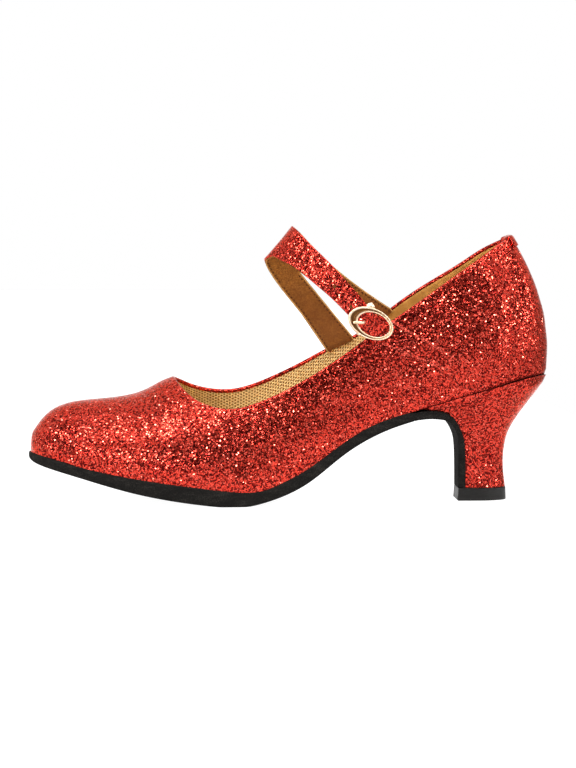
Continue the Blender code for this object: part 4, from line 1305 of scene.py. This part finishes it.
# Back tab. A small piece of the glitter cloth, folded over the topline at the back seam and sewn down on
# both faces. It keeps the seam from opening when the shoe is pulled on.
BACK_TAB_START = 229.5
BACK_TAB_LOW = 0.92
BACK_TAB_THICK = 0.8
BACK_TAB_GAP = 0.1
BACK_TAB_MEET = 0.05


def back_tab_grid():
    """Strip round the back of the heel: up the outer face, over the fold of the topline and down inside."""
    v = np.linspace(BACK_TAB_LOW, 1, 12)[None, :]
    outer = np.linspace(BACK_TAB_START, SHOE_LENGTH - BACK_TAB_MEET, 22)[:, None]
    rows = []
    for side, s in ((-1, outer), (1, outer[::-1])):
        s, share = np.broadcast_arrays(s, v)
        face = skin(side, s, share)
        normal = outward(side, s, share)
        up = unit(face[:, -1:] - face[:, -2:-1])
        t = np.linspace(0, math.pi, 11)[None, :, None]
        reach = WALL / 2 + BACK_TAB_GAP
        rim = normal[:, -1:]
        roll = face[:, -1:] - rim * WALL / 2 + reach * (rim * np.cos(t) + up * np.sin(t))
        outside = face[:, :-1] + normal[:, :-1] * BACK_TAB_GAP
        inside = face[:, -2::-1] - normal[:, -2::-1] * (WALL + BACK_TAB_GAP)
        rows.append(np.concatenate([outside, roll, inside], axis=1))
    return np.concatenate(rows)


glitter_tab = glitter_cloth("back_tab_glitter")
piece("back_tab_cloth", [(back_tab_grid(), True)], glitter_tab, ["back_tab"],
      wall=BACK_TAB_THICK, side=1.0, edge=0.25)


# Studio. A pale floor that glows evenly, three weak soft lamps, and the surroundings that the flakes mirror:
# white behind, above and low down, a dark room in front with banks of small bulbs, and a duller far right.
# The camera stands a little above the floor on the outer side.
CAMERA_DISTANCE = 1.2
CAMERA_PITCH = math.radians(2.96)
CAMERA_TURN = math.radians(-2.0)
CAMERA_AIM = np.array((-0.0002, 0.0, 0.05346))
CAMERA_LENS = 121.96
FLOOR_HALF = 6.0
FLOOR_FRONT = -0.68
FLOOR_RIGHT = 0.22
FLOOR_GREYS = (0.14, 0.16)
FLOOR_GLOW = 0.98
SIDE_DARK = 0.5
ROOM_DARK = 0.10
BULBS = 8.0
BULB_GLOW = 34.0
BANK_GLOW = 0.24
# Where each part of the surroundings begins and is full, from the direction's own x, y or z.
SKY_ABOVE = (0.6, 0.95)
SKY_BEHIND = (-0.25, 0.45)
SKY_LOW = (0.05, 0.17)
BANK_LEFT = (-0.2, 0.0)
BANK_RIGHT = (0.25, 0.45)
BANK_OFF_FLOOR = (0.0, 0.12)
BANK_HIGH = (0.26, 0.42)
BANK_BACK = (0.0, 0.3)
BULB_EDGE = (0.215, 0.265)
SHADE_RIGHT = (0.15, 0.5)
SHADE_BACK = (0.0, 0.3)
SHADE_TOP = (0.08, 0.3)
# Lamps: name, place, point it shines at, width, power.
LAMPS = (
    ("overhead", (0.25, 0.15, 1.1), (0, 0, 0), 0.6, 4.0),
    ("front_left", (-0.7, -0.9, 0.9), (0, 0, 0.05), 1.0, 2.0),
    ("front_right", (0.8, -0.8, 0.8), (0, 0, 0.05), 1.0, 2.0),
)


def soft_light(name, place, aim, size, power):
    """Square area light that shines from a place to a point."""
    lamp = bpy.data.lights.new(name, "AREA")
    lamp.size = size
    lamp.energy = power
    obj = bpy.data.objects.new(name, lamp)
    bpy.context.scene.collection.objects.link(obj)
    away = unit(np.array(place, float) - np.array(aim, float))
    side = unit(np.cross((0.0, 1.0, 0.001), away))
    up = np.cross(away, side)
    turned = np.eye(4)
    turned[:3, :4] = np.stack([side, up, away, np.array(place, float)], -1)
    obj.matrix_world = mathutils.Matrix(turned.tolist())
    return obj


floor_mesh = bpy.data.meshes.new("floor")
corners = ((-FLOOR_HALF, FLOOR_FRONT), (FLOOR_RIGHT, FLOOR_FRONT),
           (FLOOR_RIGHT, FLOOR_HALF), (-FLOOR_HALF, FLOOR_HALF))
floor_mesh.from_pydata([(x, y, 0.0) for x, y in corners], [], [(0, 1, 2, 3)])
floor = bpy.data.objects.new("floor", floor_mesh)
bpy.context.scene.collection.objects.link(floor)
floor_paint, floor_point, _ = new_finish("floor_paint")
floor_grain = floor_point.noise(300.0, 2.0)
floor_colour = floor_grain.blend((FLOOR_GREYS[0],) * 3, (FLOOR_GREYS[1],) * 3)
set_finish(floor_paint, Base_Color=floor_colour, Roughness=0.9, Emission_Color=(1, 1, 1, 1),
           Emission_Strength=FLOOR_GLOW)
floor_mesh.materials.append(floor_paint)

for lamp in LAMPS:
    soft_light(*lamp)

world = bpy.data.worlds.new("studio")
bpy.context.scene.world = world
world.use_nodes = True
sky = Finish(world.node_tree, world.node_tree.nodes.new("ShaderNodeTexCoord").outputs["Generated"])
seen = sky.node("ShaderNodeLightPath", {}, {}, "Is Camera Ray")
right, back, up = (sky.part(axis) for axis in "XYZ")
above = up.rise(*SKY_ABOVE)
behind = back.rise(*SKY_BEHIND)
below = 1 - up.rise(*SKY_LOW)
bright = above + behind - above * behind
left = 1 - right.rise(*BANK_LEFT)
aside = left.math("MAXIMUM", left, right.rise(*BANK_RIGHT)) * up.rise(*BANK_OFF_FLOOR)
bank = aside.math("MAXIMUM", aside, up.rise(*BANK_HIGH)) * (1 - back.rise(*BANK_BACK))
bulb = sky.node("ShaderNodeTexVoronoi", {"feature": "F1"}, {"Vector": sky, "Scale": BULBS}, "Distance")
shaded = right.rise(*SHADE_RIGHT) * back.rise(*SHADE_BACK) * (1 - up.rise(*SHADE_TOP))
bright = bright.math("MAXIMUM", bright, below) * (1 - shaded * SIDE_DARK)
room = bright.math("MAXIMUM", bright, bank * BANK_GLOW).blend((ROOM_DARK,) * 3, (1.0,) * 3)
room = (bank * (1 - bulb.rise(*BULB_EDGE))).blend(room, (BULB_GLOW,) * 3)
backing = world.node_tree.nodes["Background"]
world.node_tree.links.new(seen.blend(room, (1.0,) * 3).socket, backing.inputs["Color"])

camera_data = bpy.data.cameras.new("camera")
camera_data.lens = CAMERA_LENS
camera = bpy.data.objects.new("camera", camera_data)
bpy.context.scene.collection.objects.link(camera)
level = math.cos(CAMERA_PITCH)
away = np.array((math.sin(CAMERA_TURN) * level, -math.cos(CAMERA_TURN) * level, math.sin(CAMERA_PITCH)))
camera.location = CAMERA_AIM + away * CAMERA_DISTANCE
camera.rotation_euler = (math.pi / 2 - CAMERA_PITCH, 0.0, CAMERA_TURN)
bpy.context.scene.camera = camera
bpy.context.scene.view_settings.view_transform = "Standard"
